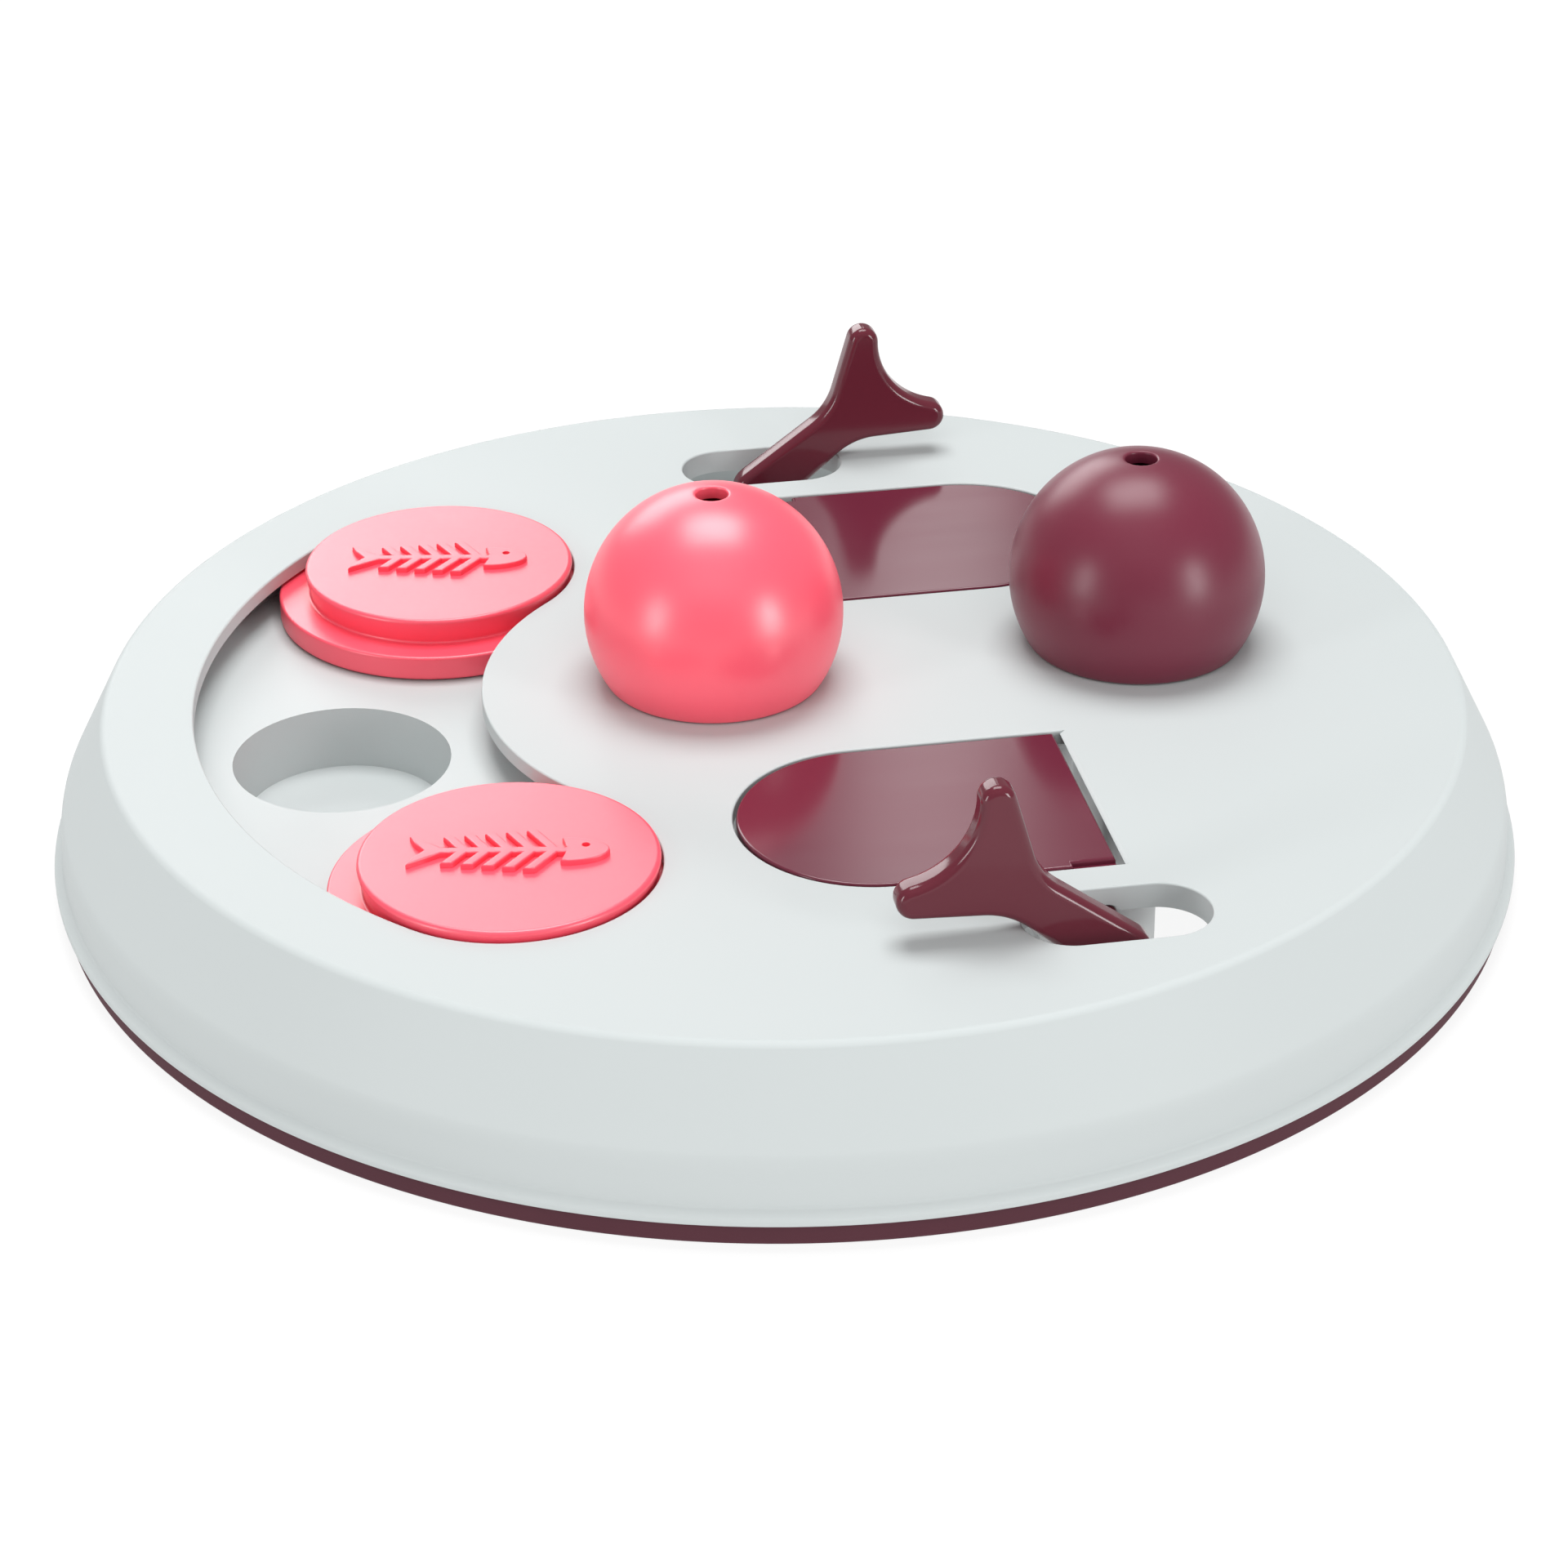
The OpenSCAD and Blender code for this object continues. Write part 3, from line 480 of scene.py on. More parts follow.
class Pencil:
    """Draws an outline in edit mode from one vertex, by lines and arcs."""

    def __init__(self, name, start):
        bpy.ops.object.select_all(action="DESELECT")
        bpy.ops.mesh.primitive_plane_add(size=MM)
        self.piece = bpy.context.object
        self.piece.name = self.piece.data.name = name
        bpy.ops.object.mode_set(mode="EDIT")
        bpy.ops.mesh.select_mode(type="VERT")
        bpy.ops.mesh.select_all(action="SELECT")
        bpy.ops.mesh.merge(type="CENTER")
        self.at = Vector(start)
        bpy.ops.transform.translate(value=self.at)

    def line(self, *points):
        for point in points:
            bpy.ops.mesh.extrude_region_move(TRANSFORM_OT_translate={"value": Vector(point) - self.at})
            self.at = Vector(point)
        return self

    def arc(self, centre, degrees, steps, axis=(0, 0, 1)):
        """An arc about a centre, turning by the right-hand rule."""
        turn = math.radians(degrees)
        bpy.ops.mesh.spin(steps=steps, angle=-turn, center=centre, axis=axis)
        self.at = Vector(centre) + Matrix.Rotation(turn, 3, axis) @ (self.at - Vector(centre))
        return self

    def merge(self):
        bpy.ops.mesh.select_all(action="SELECT")
        bpy.ops.mesh.remove_doubles(threshold=MERGE)
        return self

    def prism(self, step):
        """Fills the outline and raises it by a step. Returns the piece in object mode."""
        self.merge()
        bpy.ops.mesh.edge_face_add()
        bpy.ops.mesh.extrude_region_move(TRANSFORM_OT_translate={"value": step})
        return self.done()

    def turned(self, centre, steps, caps=()):
        """Spins the outline round an upright axis and closes the round openings at the given heights."""
        bpy.ops.mesh.select_all(action="SELECT")
        bpy.ops.mesh.spin(steps=steps, angle=math.tau, center=centre, axis=(0, 0, 1))
        self.merge()
        for height in caps:
            pick_edges(self.piece, lambda edge: edge.is_boundary and at_height(edge, height))
            bpy.ops.mesh.edge_face_add()
        return self.done()

    def done(self):
        bpy.ops.mesh.select_mode(type="VERT")
        bpy.ops.mesh.select_all(action="SELECT")
        bpy.ops.mesh.normals_make_consistent(inside=False)
        bpy.ops.object.mode_set(mode="OBJECT")
        return self.piece


def at_height(edge, height):
    """True where an edge lies level at a height."""
    return all(abs(corner.co.z - height) < LEVEL for corner in edge.verts)


def sharp(edge, degrees=60):
    """True where the two faces of an edge meet at more than an angle."""
    return len(edge.link_faces) == 2 and edge.calc_face_angle(0) > math.radians(degrees)


def pick_edges(piece, wanted):
    """Selects the edges that pass a test, in edit mode."""
    bpy.ops.mesh.select_mode(type="EDGE")
    bpy.ops.mesh.select_all(action="DESELECT")
    net = bmesh.from_edit_mesh(piece.data)
    found = [edge for edge in net.edges if wanted(edge)]
    if not found:
        raise RuntimeError(f"{piece.name} has no such edges")
    for edge in found:
        edge.select_set(True)
    bmesh.update_edit_mesh(piece.data)


def choose(piece):
    """Makes a piece the only selected one, and the active one."""
    bpy.ops.object.select_all(action="DESELECT")
    piece.select_set(True)
    bpy.context.view_layer.objects.active = piece


def soften(piece, width, steps, wanted, clamp=True):
    """Rounds the edges that pass a test, and less than asked where clamp holds back overlaps."""
    choose(piece)
    bpy.ops.object.mode_set(mode="EDIT")
    pick_edges(piece, wanted)
    bpy.ops.mesh.bevel(
        offset=width, offset_type="OFFSET", segments=steps, profile=0.5, clamp_overlap=clamp, affect="EDGES"
    )
    bpy.ops.object.mode_set(mode="OBJECT")


def combine(piece, tool, how="DIFFERENCE"):
    """Cuts a tool out of a piece, or adds it, and removes the tool."""
    choose(piece)
    step = piece.modifiers.new("combine", "BOOLEAN")
    step.operation, step.solver, step.object = how, "EXACT", tool
    bpy.ops.object.modifier_apply(modifier=step.name)
    choose(tool)
    bpy.ops.object.delete()
    return piece


def join(piece, *others):
    """Makes several objects one piece."""
    choose(piece)
    for other in others:
        other.select_set(True)
    bpy.ops.object.join()
    return piece


def copy_of(piece, name):
    """A copy of a piece with its own mesh."""
    choose(piece)
    bpy.ops.object.duplicate(linked=False)
    made = bpy.context.object
    made.name = made.data.name = name
    return made


def move_mesh(piece, step=(0, 0, 0), half_turn_about=None):
    """Moves a piece's mesh, or gives it half a turn about an upright axis."""
    choose(piece)
    bpy.ops.object.mode_set(mode="EDIT")
    bpy.ops.mesh.select_all(action="SELECT")
    if half_turn_about:
        bpy.ops.transform.rotate(value=math.pi, orient_axis="Z", center_override=half_turn_about)
    bpy.ops.transform.translate(value=step)
    bpy.ops.object.mode_set(mode="OBJECT")


def back_copy(piece, name, middle):
    """A copy of something of the front flip unit, turned round to the back unit."""
    other = copy_of(piece, name)
    move_mesh(other, half_turn_about=(middle, 0, 0))
    return other


def combine_twice(piece, tool, middle, how="DIFFERENCE"):
    """Cuts a tool of the front flip unit out of a piece, or adds it, and again at the back unit."""
    other = back_copy(tool, tool.name + "_back", middle)
    combine(piece, tool, how)
    combine(piece, other, how)


def weld(piece, reach):
    """Merges vertices that cuts left in almost one place."""
    choose(piece)
    bpy.ops.object.mode_set(mode="EDIT")
    bpy.ops.mesh.select_mode(type="VERT")
    bpy.ops.mesh.select_all(action="SELECT")
    bpy.ops.mesh.remove_doubles(threshold=reach)
    bpy.ops.object.mode_set(mode="OBJECT")


def prism(name, step, *corners):
    """A solid with straight sides: its corners joined in order and raised by a step."""
    return Pencil(name, corners[0]).line(*corners[1:], corners[0]).prism(step)


def cylinder(name, radius, start, end, vertices=48):
    """An upright or level round bar between two points."""
    start, end = Vector(start), Vector(end)
    along = (end - start).normalized()
    side = Vector((1, 0, 0)) if abs(along.x) < 0.5 else Vector((0, 1, 0))
    side = (side - along * side.dot(along)).normalized()
    pencil = Pencil(name, start + side * radius)
    pencil.arc(start, 360, vertices, tuple(along))
    return pencil.prism(end - start)


def finished(piece, finish, body, slot, *nodes, sharp_from=38):
    """Shades a piece, gives it its finish and sets it on its body in place of its parts."""
    choose(piece)
    bpy.ops.object.shade_smooth_by_angle(angle=math.radians(sharp_from))
    even = piece.modifiers.new("even", "WEIGHTED_NORMAL")
    even.keep_sharp = True
    bpy.ops.object.modifier_apply(modifier=even.name)
    piece.data.materials.clear()
    piece.data.materials.append(finish_named(finish))
    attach(piece, body)
    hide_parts(*nodes)
    return piece


def flat_band(name, sizes, half, low, high):
    """A solid along the track, of a half width, with round ends."""
    spread = math.degrees(sizes.half_angle)
    start, end = math.radians(180 - spread), math.radians(180 + spread)
    first = Vector((sizes.path * math.cos(start), sizes.path * math.sin(start), low))
    last = Vector((sizes.path * math.cos(end), sizes.path * math.sin(end), low))
    middle = Vector((0, 0, low))
    outer = (sizes.path + half) / sizes.path
    pencil = Pencil(name, Vector((first.x * outer, first.y * outer, low)))
    pencil.arc(middle, 2 * spread, 72).arc(last, 180, 48).arc(middle, -2 * spread, 60).arc(first, 180, 48)
    return pencil.prism((0, 0, high - low))


def slot_block(name, sizes, grow, low, high):
    """A solid of the front slot's plan, grown by a margin."""
    half = sizes.slot_width / 2 + grow
    reach = (sizes.slot_length - sizes.slot_width) / 2
    x, y = sizes.slot_x, -sizes.slot_row
    pencil = Pencil(name, (x - reach, y - half, low))
    pencil.line((x + reach, y - half, low)).arc((x + reach, y, low), 180, 28)
    pencil.line((x - reach, y + half, low)).arc((x - reach, y, low), 180, 28)
    return pencil.prism((0, 0, high - low))


def lid_block(name, sizes, grow, end_x, low, high):
    """A solid of the front lid's plan, grown by a margin, up to a hinge end."""
    half = sizes.lid_width / 2
    arc_x = sizes.axle_x + sizes.lid_tail - sizes.lid_length + half
    y = -sizes.lid_row
    half += grow
    pencil = Pencil(name, (arc_x, y + half, low))
    pencil.arc((arc_x, y, low), 180, 64).line((end_x, y - half, low), (end_x, y + half, low))
    pencil.line((arc_x, y + half, low))
    return pencil.prism((0, 0, high - low))


def brow_block(name, sizes, side_y, top):
    """What the bevel behind the front lid takes off the plate."""
    x, y = sizes.axle_x + sizes.hinge_wall, side_y - sizes.lid_row
    low, high, far = top - sizes.brow_depth, top + MM, x + sizes.brow_width
    corners = (x - MM, y, low), (x, y, low), (far, y, top), (far, y, high), (x - MM, y, high)
    return prism(name, (0, -2 * side_y, 0), *corners)


class ACTIVITY_BOARD_OT_shell(bpy.types.Operator):
    """Turns the white board, cuts its openings and rounds their rims"""

    bl_idname = "activity_board.shell"
    bl_label = "White shell"

    def execute(self, context):
        board = settings()
        shell = self.turn_body(board.shell)
        self.cut_openings(shell, board)
        self.add_bosses(shell, board.shell)
        finished(shell, "shell_white", "board", "white_plastic", "top_shell")
        return {"FINISHED"}

    def turn_body(self, sizes):
        """Turns the board's section and softens its outer edges."""
        lip_z = sizes.ring + sizes.lip
        brim_x, brim_z = sizes.radius - sizes.brim_width, lip_z + sizes.brim
        band_x, band_z = brim_x - sizes.band_inset, brim_z + sizes.band
        edge_x = sizes.radius - sizes.edge_inset
        under, foot_z = sizes.top - sizes.plate, sizes.ring + sizes.foot
        slope = math.degrees(math.atan2(sizes.top - band_z, band_x - edge_x))
        flat_x = edge_x - sizes.edge_round * math.tan(math.radians(slope / 2))
        inner_x = band_x - (band_x - edge_x) * (under - band_z) / (sizes.top - band_z) - sizes.skirt
        tongue_x = sizes.radius - sizes.ring_inset - sizes.ring_width / 2
        groove = sizes.tongue_width / 2 + sizes.tongue_gap
        groove_z = sizes.ring + sizes.tongue + sizes.tongue_gap

        pencil = Pencil("board_shell", (flat_x, 0, sizes.top))
        pencil.arc((flat_x, 0, sizes.top - sizes.edge_round), slope, 8, (0, 1, 0))
        pencil.line(
            (band_x, 0, band_z),
            (brim_x, 0, brim_z),
            (sizes.radius, 0, lip_z),
            (sizes.radius, 0, sizes.ring),
            (tongue_x + groove, 0, sizes.ring),
            (tongue_x + groove, 0, groove_z),
            (tongue_x - groove, 0, groove_z),
            (tongue_x - groove, 0, sizes.ring),
            (sizes.radius - sizes.foot_width, 0, sizes.ring),
            (sizes.radius - sizes.foot_width, 0, foot_z),
            (band_x - sizes.skirt, 0, foot_z),
            (band_x - sizes.skirt, 0, band_z),
            (inner_x, 0, under),
        )
        shell = pencil.turned((0, 0, 0), BOARD_STEPS, caps=(sizes.top, under))

        # Edges further out than this lie on the board's outside
        skin_x = band_x - 0.1 * MM

        def outside(edge):
            return min(corner.co.xy.length for corner in edge.verts) > skin_x

        def on_lip(edge):
            return outside(edge) and any(at_height(edge, z) for z in (brim_z, lip_z, sizes.ring))

        soften(shell, sizes.band_round, 5, lambda edge: outside(edge) and at_height(edge, band_z))
        soften(shell, sizes.lip_round, 3, on_lip)
        return shell

    def cut_openings(self, shell, board):
        """Cuts the plate's openings, rounds their rims and clears the way of the lids' hinge ends."""
        sizes, flip, dome, track = board.shell, board.flip, board.dome, board.track
        under, axle_z = sizes.top - sizes.plate, sizes.top - flip.axle_depth
        low, high = under - MM, sizes.top + MM
        collar_z = sizes.top - flip.slot_depth
        wall_x = flip.axle_x + flip.hinge_wall
        collar_y = flip.slot_width / 2 + flip.collar + MM - flip.slot_row
        # A little inside the opening's own sides, so that the cuts don't share faces
        side_y = flip.lid_width / 2 + flip.lid_gap - 0.05 * MM

        def on_axle(aside):
            return (flip.axle_x, aside, axle_z)

        def cut(tool, how="DIFFERENCE"):
            combine_twice(shell, tool, flip.middle, how)

        cut(slot_block("collar", flip, flip.collar, collar_z, under + MM), "UNION")
        cut(lid_block("opening", flip, flip.lid_gap, wall_x, low, high))
        cut(slot_block("slot", flip, 0, collar_z - MM, high))
        cut(cylinder("axle_pass", flip.axle + flip.axle_gap, on_axle(-flip.lever_row), on_axle(collar_y)))
        combine(shell, flat_band("channel", track, track.disc + track.gap, low, high))
        for box_low, box_high in ((PINK_LOW, PINK_HIGH), (BURGUNDY_LOW, BURGUNDY_HIGH)):
            x, y = (box_low + box_high).xy / 2
            combine(shell, cylinder("dome_hole", dome.cup, (x, y, low), (x, y, high), HOLE_STEPS))
        soften(shell, sizes.rim_round, 3, lambda edge: at_height(edge, sizes.top) and sharp(edge))
        ends = on_axle(-flip.lid_row - side_y), on_axle(-flip.lid_row + side_y)
        cut(cylinder("swing", flip.swing, *ends, HOLE_STEPS))
        cut(brow_block("brow", flip, side_y, sizes.top))

    def add_bosses(self, shell, sizes):
        """Sets a boss under the plate over every screw."""
        high = sizes.top - sizes.plate + OVERLAP
        low = sizes.top - sizes.plate - sizes.boss_drop
        bosses = []
        for node in ("track_tray_screws", "front_tray_screws", "back_tray_screws", "dome_cup_screws"):
            for x, y in screw_places(node):
                bosses.append(cylinder("boss", sizes.boss, (x, y, low), (x, y, high), 32))
        join(shell, *bosses)


def screw_places(node):
    """The middles of the screws in a group of screws, from their heads' vertices."""
    places = []
    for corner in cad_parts[node].data.vertices:
        here = corner.co.xy
        near = [group for group in places if (group[0] - here).length < SCREW_REACH]
        if near:
            near[0].append(here)
        else:
            places.append([here])
    middles = []
    for group in places:
        xs, ys = [here.x for here in group], [here.y for here in group]
        middles.append(((min(xs) + max(xs)) / 2, (min(ys) + max(ys)) / 2))
    return middles


class ACTIVITY_BOARD_OT_ring(bpy.types.Operator):
    """Turns the non-slip ring with its tongue"""

    bl_idname = "activity_board.ring"
    bl_label = "Non-slip ring"

    def execute(self, context):
        sizes = settings().shell
        outer = sizes.radius - sizes.ring_inset
        inner = outer - sizes.ring_width
        middle, half = (outer + inner) / 2, sizes.tongue_width / 2
        pencil = Pencil("non_slip_foot", (outer, 0, 0))
        pencil.line(
            (outer, 0, sizes.ring),
            (middle + half, 0, sizes.ring),
            (middle + half, 0, sizes.ring + sizes.tongue),
            (middle - half, 0, sizes.ring + sizes.tongue),
            (middle - half, 0, sizes.ring),
            (inner, 0, sizes.ring),
            (inner, 0, 0),
            (outer, 0, 0),
        )
        ring = pencil.turned((0, 0, 0), BOARD_STEPS)

        def outer_top(edge):
            return at_height(edge, sizes.ring) and edge.verts[0].co.xy.length > middle + 2 * half

        soften(ring, sizes.ring_round, 3, lambda edge: at_height(edge, 0) and sharp(edge))
        soften(ring, sizes.ring_top_round, 2, lambda edge: outer_top(edge) and sharp(edge))
        finished(ring, "ring_rubber", "board", "dark_rubber", "non_slip_ring")
        return {"FINISHED"}


def fishbone(sizes, centre, top):
    """The raised fishbone on a disc: tail, spine, slanted ribs and a head with an eye.

    Bare factors are shares of its length, of its half width, or of its tail and head.
    """
    along = Vector((math.cos(sizes.turn), math.sin(sizes.turn), 0))
    across = UP.cross(along)
    low = top - sizes.bone_root
    rise = Vector((0, 0, sizes.bone_rise + sizes.bone_root))
    half_length, half_width, half_bone = sizes.bone_length / 2, sizes.bone_width / 2, sizes.bone / 2
    head, tail = 0.24 * sizes.bone_length, 0.2 * sizes.bone_length
    rib_from, rib_to = tail - half_length, half_length - head

    def spot(x, y):
        return Vector((centre.x, centre.y, low)) + along * x + across * y

    def plate(name, *corners):
        return prism(name, rise, *[spot(*corner) for corner in corners])

    bones = plate(
        "fishbone",
        (rib_from - tail / 2, -half_bone),
        (rib_to + head / 2, -half_bone),
        (rib_to + head / 2, half_bone),
        (rib_from - tail / 2, half_bone),
    )
    fork = plate(
        "tail",
        (rib_from, 0),
        (rib_from - 0.45 * tail, 0.34 * half_width),
        (-half_length, 0.74 * half_width),
        (-half_length + 0.12 * tail, 0.4 * half_width),
        (-half_length + 0.4 * tail, 0),
        (-half_length + 0.12 * tail, -0.4 * half_width),
        (-half_length, -0.74 * half_width),
        (rib_from - 0.45 * tail, -0.34 * half_width),
    )
    turns = [step * math.pi / 16 for step in range(1, 16)]
    skull = plate(
        "skull",
        (rib_to, 0.6 * half_width),
        *[(rib_to + head * math.sin(turn), 0.62 * half_width * math.cos(turn)) for turn in turns],
        (rib_to, -0.6 * half_width),
        (rib_to + 0.12 * head, 0),
    )
    parts = [fork, skull]
    for step in range(sizes.ribs):
        for side in (-1, 1):
            root = rib_from + (rib_to - rib_from) * (step + 0.7) / sizes.ribs
            reach = half_width * (0.6 + 0.4 * (step + 1) / sizes.ribs)
            lag = reach * math.tan(sizes.slant)
            wide = half_bone / math.cos(sizes.slant)
            parts.append(
                plate(
                    "rib",
                    (root + wide, 0),
                    (root + wide - lag, side * reach),
                    (root - wide - lag, side * reach),
                    (root - wide, 0),
                )
            )
    for part in parts:
        combine(bones, part, "UNION")
    # The unions leave slivers up to this long
    weld(bones, 0.06 * MM)
    crest = top + sizes.bone_rise
    soften(bones, sizes.bone_round, 3, lambda edge: at_height(edge, crest) and sharp(edge), clamp=False)
    eye = spot(rib_to + 0.5 * head, 0.2 * half_width)
    combine(bones, cylinder("eye", 0.09 * head, eye, eye + rise * 1.5, 20))
    return bones


class ACTIVITY_BOARD_OT_discs(bpy.types.Operator):
    """Turns the sliding discs and raises a fishbone on each"""

    bl_idname = "activity_board.discs"
    bl_label = "Sliding discs"

    def execute(self, context):
        sizes = settings().track
        centre = (DISC_LOW + DISC_HIGH) / 2
        low, top = DISC_LOW.z, DISC_HIGH.z - sizes.relief
        flange_z = low + sizes.flange_height
        foot = sizes.disc - sizes.draft
        core = foot - sizes.wall

        def section(x, z):
            return (centre.x + x, centre.y, z)

        pencil = Pencil("front_disc_piece", section(core, top - sizes.wall))
        pencil.line(
            section(core, low),
            section(sizes.flange, low),
            section(sizes.flange, flange_z),
            section(foot, flange_z),
            section(sizes.disc, top - sizes.disc_round),
        )
        pencil.arc(section(sizes.disc - sizes.disc_round, top - sizes.disc_round), -90, 5, (0, 1, 0))
        disc = pencil.turned((centre.x, centre.y, 0), PIECE_STEPS, caps=(top, top - sizes.wall))

        def on_flange(edge):
            return sharp(edge) and (at_height(edge, low) or at_height(edge, flange_z))

        soften(disc, sizes.flange_round, 3, on_flange)
        join(disc, fishbone(sizes, centre, top))
        other = copy_of(disc, "back_disc_piece")
        move_mesh(other, (BACK_DISC_LOW + BACK_DISC_HIGH) / 2 - centre)
        finished(disc, "disc_pink", "front_disc", "pink_plastic", "front_sliding_disc")
        finished(other, "disc_pink", "back_disc", "pink_plastic", "back_sliding_disc")
        return {"FINISHED"}


class ACTIVITY_BOARD_OT_lids(bpy.types.Operator):
    """Models the lids with their hinge barrels"""

    bl_idname = "activity_board.lids"
    bl_label = "Lids"

    def execute(self, context):
        sizes, top = settings().flip, settings().shell.top
        half, y = sizes.lid_width / 2, -sizes.lid_row
        end_x, axle_z = sizes.axle_x + sizes.lid_tail, top - sizes.axle_depth
        low = top - sizes.lid
        lid = lid_block("front_lid_piece", sizes, 0, end_x, low, top)
        front, back = y - half, y + half

        def on_axle(aside):
            return (sizes.axle_x, aside, axle_z)

        web_x, web_z = sizes.axle_x - sizes.barrel, low + OVERLAP
        corners = [(web_x, axle_z), (end_x, axle_z), (end_x, web_z), (web_x, web_z)]
        web = prism("web", (0, sizes.lid_width, 0), *[(x, front, z) for x, z in corners])
        combine(lid, web, "UNION")
        combine(lid, cylinder("barrel", sizes.barrel, on_axle(front), on_axle(back)), "UNION")
        bore = sizes.axle + BORE_GAP
        combine(lid, cylinder("bore", bore, on_axle(front - MM), on_axle(back + MM)))
        near_x, far_x = end_x - sizes.step_length, end_x + MM
        near_y, far_y = front - MM, front + sizes.step_width
        floor_z = top - sizes.step_depth
        corners = [(near_x, near_y), (far_x, near_y), (far_x, far_y), (near_x, far_y)]
        step = prism("step", (0, 0, sizes.step_depth + MM), *[(x, y, floor_z) for x, y in corners])
        combine(lid, step)
        weld(lid, MERGE)
        soften(lid, sizes.lid_round, 4, lambda edge: at_height(edge, top) and sharp(edge))
        other = back_copy(lid, "back_lid_piece", sizes.middle)
        finished(lid, "lid_burgundy", "front_flip", "burgundy_gloss", "front_lid")
        finished(other, "lid_burgundy", "back_flip", "burgundy_gloss", "back_lid")
        return {"FINISHED"}


class ACTIVITY_BOARD_OT_levers(bpy.types.Operator):
    """Models the fishtail levers with their rounded rims"""

    bl_idname = "activity_board.levers"
    bl_label = "Levers"

    def execute(self, context):
        sizes, top = settings().flip, settings().shell.top
        y = -sizes.lever_row + sizes.lever / 2
        axle = Vector((sizes.axle_x, y, top - sizes.axle_depth))
        along = Vector((-math.cos(sizes.lean), 0, math.sin(sizes.lean)))
        across = Vector((math.sin(sizes.lean), 0, math.cos(sizes.lean)))
        turn = (0, 1, 0)

        def spot(reach, aside):
            return axle + along * reach + across * aside

        waist_y = sizes.neck + sizes.waist
        flare_x, flare_y = sizes.tip_reach - sizes.waist_reach, sizes.tip_spread - waist_y
        neck_turn = math.atan2(waist_y, sizes.waist_reach)
        neck_turn += math.acos((sizes.hub + sizes.waist) / math.hypot(sizes.waist_reach, waist_y))
        flare_turn = math.pi + math.atan2(flare_y, flare_x)
        flare_turn -= math.acos((sizes.waist + sizes.tip) / math.hypot(flare_x, flare_y))
        lag = sizes.tip_reach - sizes.notch_reach
        notch = (sizes.tip_spread**2 + lag**2 - sizes.tip**2) / (2 * (sizes.tip + lag))
        notch_turn = math.atan2(sizes.tip_spread, notch - lag)
        hub_arc, waist_arc = 360 - 2 * math.degrees(neck_turn), math.degrees(flare_turn - neck_turn)
        tip_arc, notch_arc = math.degrees(flare_turn + notch_turn), 2 * math.degrees(notch_turn)

        def on_hub(side):
            return spot(sizes.hub * math.cos(neck_turn), side * sizes.hub * math.sin(neck_turn))

        def on_waist(turn, side):
            out = waist_y - sizes.waist * math.sin(turn)
            return spot(sizes.waist_reach - sizes.waist * math.cos(turn), side * out)

        def on_tip(side):
            out = sizes.tip_spread + sizes.tip * math.sin(flare_turn)
            return spot(sizes.tip_reach + sizes.tip * math.cos(flare_turn), side * out)

        pencil = Pencil("front_lever_piece", on_hub(-1))
        pencil.line(on_waist(neck_turn, -1))
        pencil.arc(spot(sizes.waist_reach, -waist_y), -waist_arc, 14, turn)
        pencil.line(on_tip(-1))
        pencil.arc(spot(sizes.tip_reach, -sizes.tip_spread), tip_arc, 18, turn)
        pencil.arc(spot(sizes.notch_reach + notch, 0), -notch_arc, 24, turn)
        pencil.arc(spot(sizes.tip_reach, sizes.tip_spread), tip_arc, 18, turn)
        pencil.line(on_waist(flare_turn, 1))
        pencil.arc(spot(sizes.waist_reach, waist_y), -waist_arc, 14, turn)
        pencil.line(on_hub(1))
        pencil.arc(axle, hub_arc, 18, turn)
        lever = pencil.prism((0, -sizes.lever, 0))
        soften(lever, sizes.rim, 5, sharp)
        other = back_copy(lever, "back_lever_piece", sizes.middle)
        finished(lever, "lever_burgundy", "front_flip", "burgundy_gloss", "front_lever")
        finished(other, "lever_burgundy", "back_flip", "burgundy_gloss", "back_lever")
        return {"FINISHED"}


class ACTIVITY_BOARD_OT_domes(bpy.types.Operator):
    """Turns the hollow domes with the hole in their crowns"""

    bl_idname = "activity_board.domes"
    bl_label = "Domes"

    def execute(self, context):
        sizes = settings().dome
        x, y = (PINK_LOW + PINK_HIGH).xy / 2
        steps = 44

        def section(out, up):
            return (x + out, y, sizes.base + up)

        def skin(radius, rise, start):
            end = math.acos(sizes.hole / radius)
            points = []
            for step in range(steps + 1):
                turn = start + (end - start) * step / steps
                height = radius if turn < 0 else rise
                points.append(section(radius * math.cos(turn), sizes.waist + height * math.sin(turn)))
            return points

        inner = sizes.radius - sizes.wall
        outside = skin(sizes.radius, sizes.rise, -math.asin(sizes.waist / sizes.radius))
        inside = skin(inner, sizes.rise - sizes.wall, -math.asin((sizes.waist - sizes.wall) / inner))
        mouth = sizes.spigot - sizes.spigot_wall
        pencil = Pencil("pink_dome_piece", outside[0])
        pencil.line(*outside[1:], *reversed(inside))
        pencil.line(
            section(mouth, sizes.wall),
            section(mouth, -sizes.spigot_drop),
            section(sizes.spigot, -sizes.spigot_drop),
            section(sizes.spigot, 0),
            outside[0],
        )
        dome = pencil.turned((x, y, 0), PIECE_STEPS)
        crown = outside[-1][2]
        soften(dome, sizes.hole_round, 4, lambda edge: at_height(edge, crown) and sharp(edge, 50))
        soften(dome, sizes.base_round, 3, lambda edge: at_height(edge, sizes.base) and sharp(edge, 50))
        other = copy_of(dome, "burgundy_dome_piece")
        move_mesh(other, (BURGUNDY_LOW + BURGUNDY_HIGH - PINK_LOW - PINK_HIGH) / 2)
        finished(dome, "dome_pink", "pink_dome_body", "pink_satin", "pink_dome")
        finished(other, "dome_burgundy", "burgundy_dome_body", "burgundy_satin", "burgundy_dome")
        return {"FINISHED"}


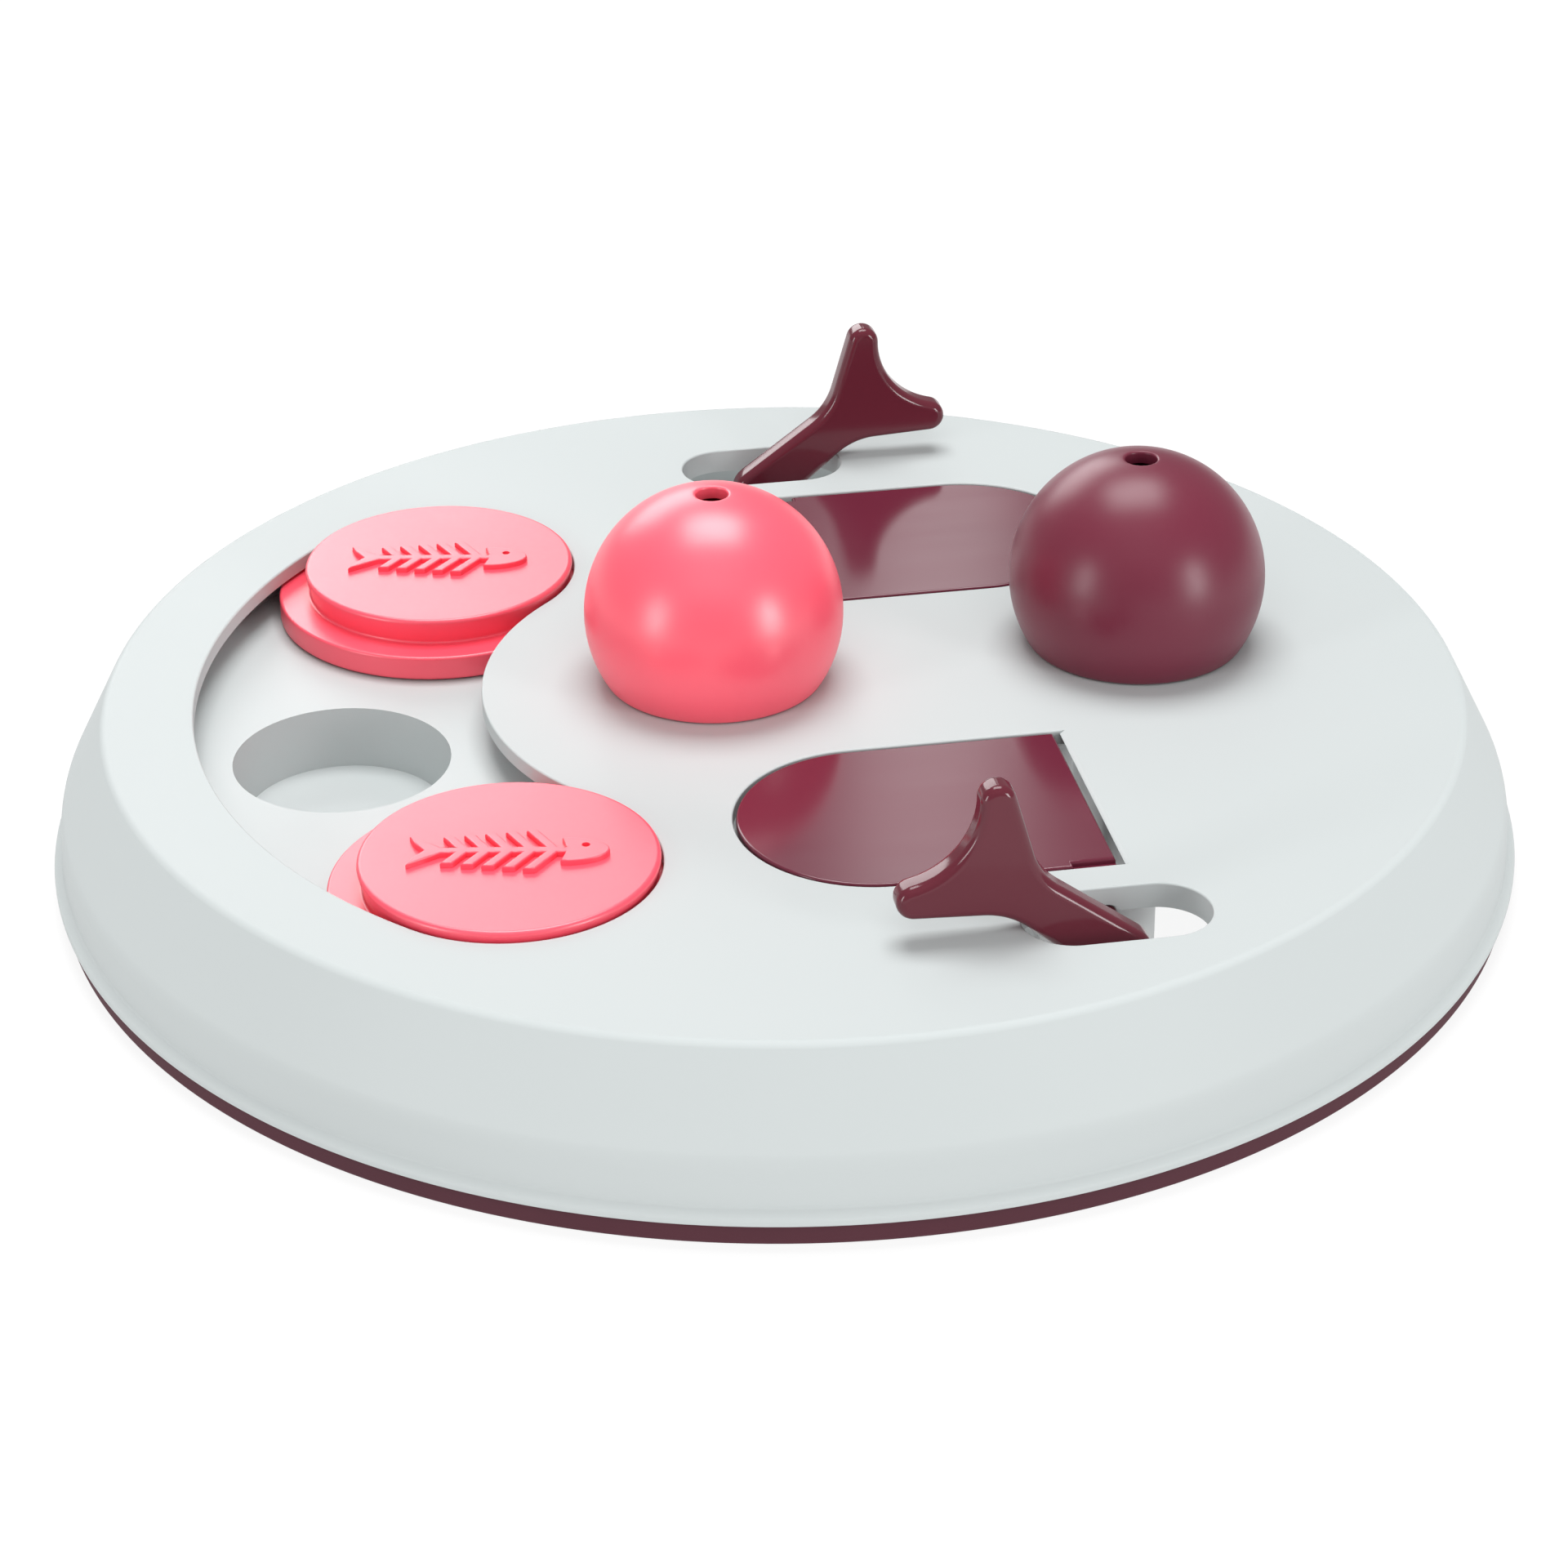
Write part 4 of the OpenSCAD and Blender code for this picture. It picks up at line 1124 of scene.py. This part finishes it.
class ACTIVITY_BOARD_OT_inner_parts(bpy.types.Operator):
    """Gives the trays, cups, axles and screws their finishes"""

    bl_idname = "activity_board.inner_parts"
    bl_label = "Trays, axles and screws"

    parts = {
        "tray_white": ("track_tray", "pink_dome_cup", "burgundy_dome_cup"),
        "tray_milky": ("front_treat_tray", "back_treat_tray"),
        "lever_burgundy": ("front_axle", "back_axle"),
        "screw_steel": ("track_tray_screws", "front_tray_screws", "back_tray_screws", "dome_cup_screws"),
    }

    def execute(self, context):
        for finish, nodes in self.parts.items():
            for node in nodes:
                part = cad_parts[node]
                part.data.materials.clear()
                part.data.materials.append(finish_named(finish))
        return {"FINISHED"}


def turned_pair(first, second, turn):
    """Two square directions, the first turned towards the second by an angle and the second with it."""
    near, far = math.cos(turn), math.sin(turn)
    return first * near + second * far, second * near - first * far


class ACTIVITY_BOARD_OT_stage(bpy.types.Operator):
    """Sets the floor, the studio lights and the camera"""

    bl_idname = "activity_board.stage"
    bl_label = "Stage"

    # How far each light stands behind the board, to its right and above it, and its width and height
    lights = {
        "overhead": (0.27, 0, 1.2, (0.8, 0.6)),
        "front": (-0.85, 0, 1.1, (1.2, 0.6)),
        "left": (-0.7, -0.9, 0.27, (0.24, 0.5)),
        "right": (-0.7, 0.9, 0.27, (0.24, 0.5)),
        "panel": (1.45, -0.62, 0.8, (1.1, 0.8)),
        "strip": (1.35, 0.0785, 0.85, (0.087, 0.5)),
    }

    def execute(self, context):
        stage = settings().stage
        self.lay_floor(stage)
        self.hang_lights(stage)
        self.place_camera(stage)
        context.scene.view_settings.view_transform = "Standard"
        return {"FINISHED"}

    def lay_floor(self, stage):
        bpy.ops.object.select_all(action="DESELECT")
        bpy.ops.mesh.primitive_plane_add(size=stage.floor_size)
        floor = bpy.context.object
        floor.name = "floor"
        bpy.ops.object.mode_set(mode="EDIT")
        bpy.ops.mesh.subdivide(number_cuts=8)
        bpy.ops.object.mode_set(mode="OBJECT")
        floor.data.materials.append(pale_floor("floor_pale", stage.floor, stage.glow))

    def hang_lights(self, stage):
        sky = bpy.data.worlds.new("studio_sky")
        bpy.context.scene.world = sky
        sky.use_nodes = True
        light = sky.node_tree.nodes["Background"]
        light.inputs["Color"].default_value = (1, 1, 1, 1)
        light.inputs["Strength"].default_value = stage.sky
        ahead = (-Vector(stage.eye)).xy.normalized()
        ahead = Vector((ahead.x, ahead.y, 0))
        right = ahead.cross(UP)
        lamps = {}
        for name, (forward, aside, height, size) in self.lights.items():
            place = ahead * forward + right * aside + UP * height
            lamps[name] = self.area(name, place, size, getattr(stage, name))
        lamps["front"].visible_glossy = False
        # These two only show as reflections
        lamps["panel"].visible_diffuse = False
        lamps["strip"].visible_diffuse = False

    def area(self, name, place, size, watts):
        """A soft rectangular light that faces the board."""
        bpy.ops.object.light_add(type="AREA", location=place)
        lamp = bpy.context.object
        lamp.name = lamp.data.name = name
        lamp.rotation_mode = "QUATERNION"
        lamp.rotation_quaternion = (-place).to_track_quat("-Z", "Y")
        lamp.data.shape = "RECTANGLE"
        lamp.data.size, lamp.data.size_y = size
        lamp.data.energy = watts
        return lamp

    def place_camera(self, stage):
        eye = Vector(stage.eye)
        ahead = -eye.normalized()
        right = ahead.cross(UP).normalized()
        up = right.cross(ahead)
        ahead, up = turned_pair(ahead, up, stage.lift)
        right, up = turned_pair(right, up, -stage.roll)
        bpy.ops.object.camera_add()
        camera = bpy.context.object
        camera.name = "camera"
        axes = Matrix((right, up, -ahead)).transposed()
        camera.matrix_world = Matrix.Translation(eye) @ axes.to_4x4()
        camera.data.lens, camera.data.sensor_width = stage.lens, SENSOR
        camera.data.clip_start, camera.data.clip_end = 0.02, 20
        bpy.context.scene.camera = camera


class ACTIVITY_BOARD_PT_panel(bpy.types.Panel):
    """Lists the steps that build the board and its settings"""

    bl_idname = "ACTIVITY_BOARD_PT_panel"
    bl_label = "Activity board"
    bl_space_type = "VIEW_3D"
    bl_region_type = "UI"
    bl_category = "Activity board"

    def draw(self, context):
        for step in STEPS:
            self.layout.operator(step.bl_idname)
        board = settings()
        for part in ("shell", "track", "flip", "dome", "finishes", "stage"):
            box = self.layout.box()
            box.label(text=part.capitalize())
            group = getattr(board, part)
            for name in group.bl_rna.properties.keys():
                if name not in ("rna_type", "name"):
                    box.prop(group, name)


STEPS = (
    ACTIVITY_BOARD_OT_shell,
    ACTIVITY_BOARD_OT_ring,
    ACTIVITY_BOARD_OT_discs,
    ACTIVITY_BOARD_OT_lids,
    ACTIVITY_BOARD_OT_levers,
    ACTIVITY_BOARD_OT_domes,
    ACTIVITY_BOARD_OT_inner_parts,
    ACTIVITY_BOARD_OT_stage,
)
GROUPS = (ShellSizes, TrackSizes, FlipSizes, DomeSizes, Finishes, StageSettings, BoardSettings)
CLASSES = (*GROUPS, *STEPS, ACTIVITY_BOARD_PT_panel)


def register():
    for made in CLASSES:
        bpy.utils.register_class(made)
    bpy.types.Scene.activity_board = PointerProperty(type=BoardSettings)


def unregister():
    del bpy.types.Scene.activity_board
    for made in reversed(CLASSES):
        bpy.utils.unregister_class(made)


def main():
    register()
    for step in STEPS:
        getattr(bpy.ops.activity_board, step.bl_idname.split(".")[1])()


if __name__ == "__main__":
    main()
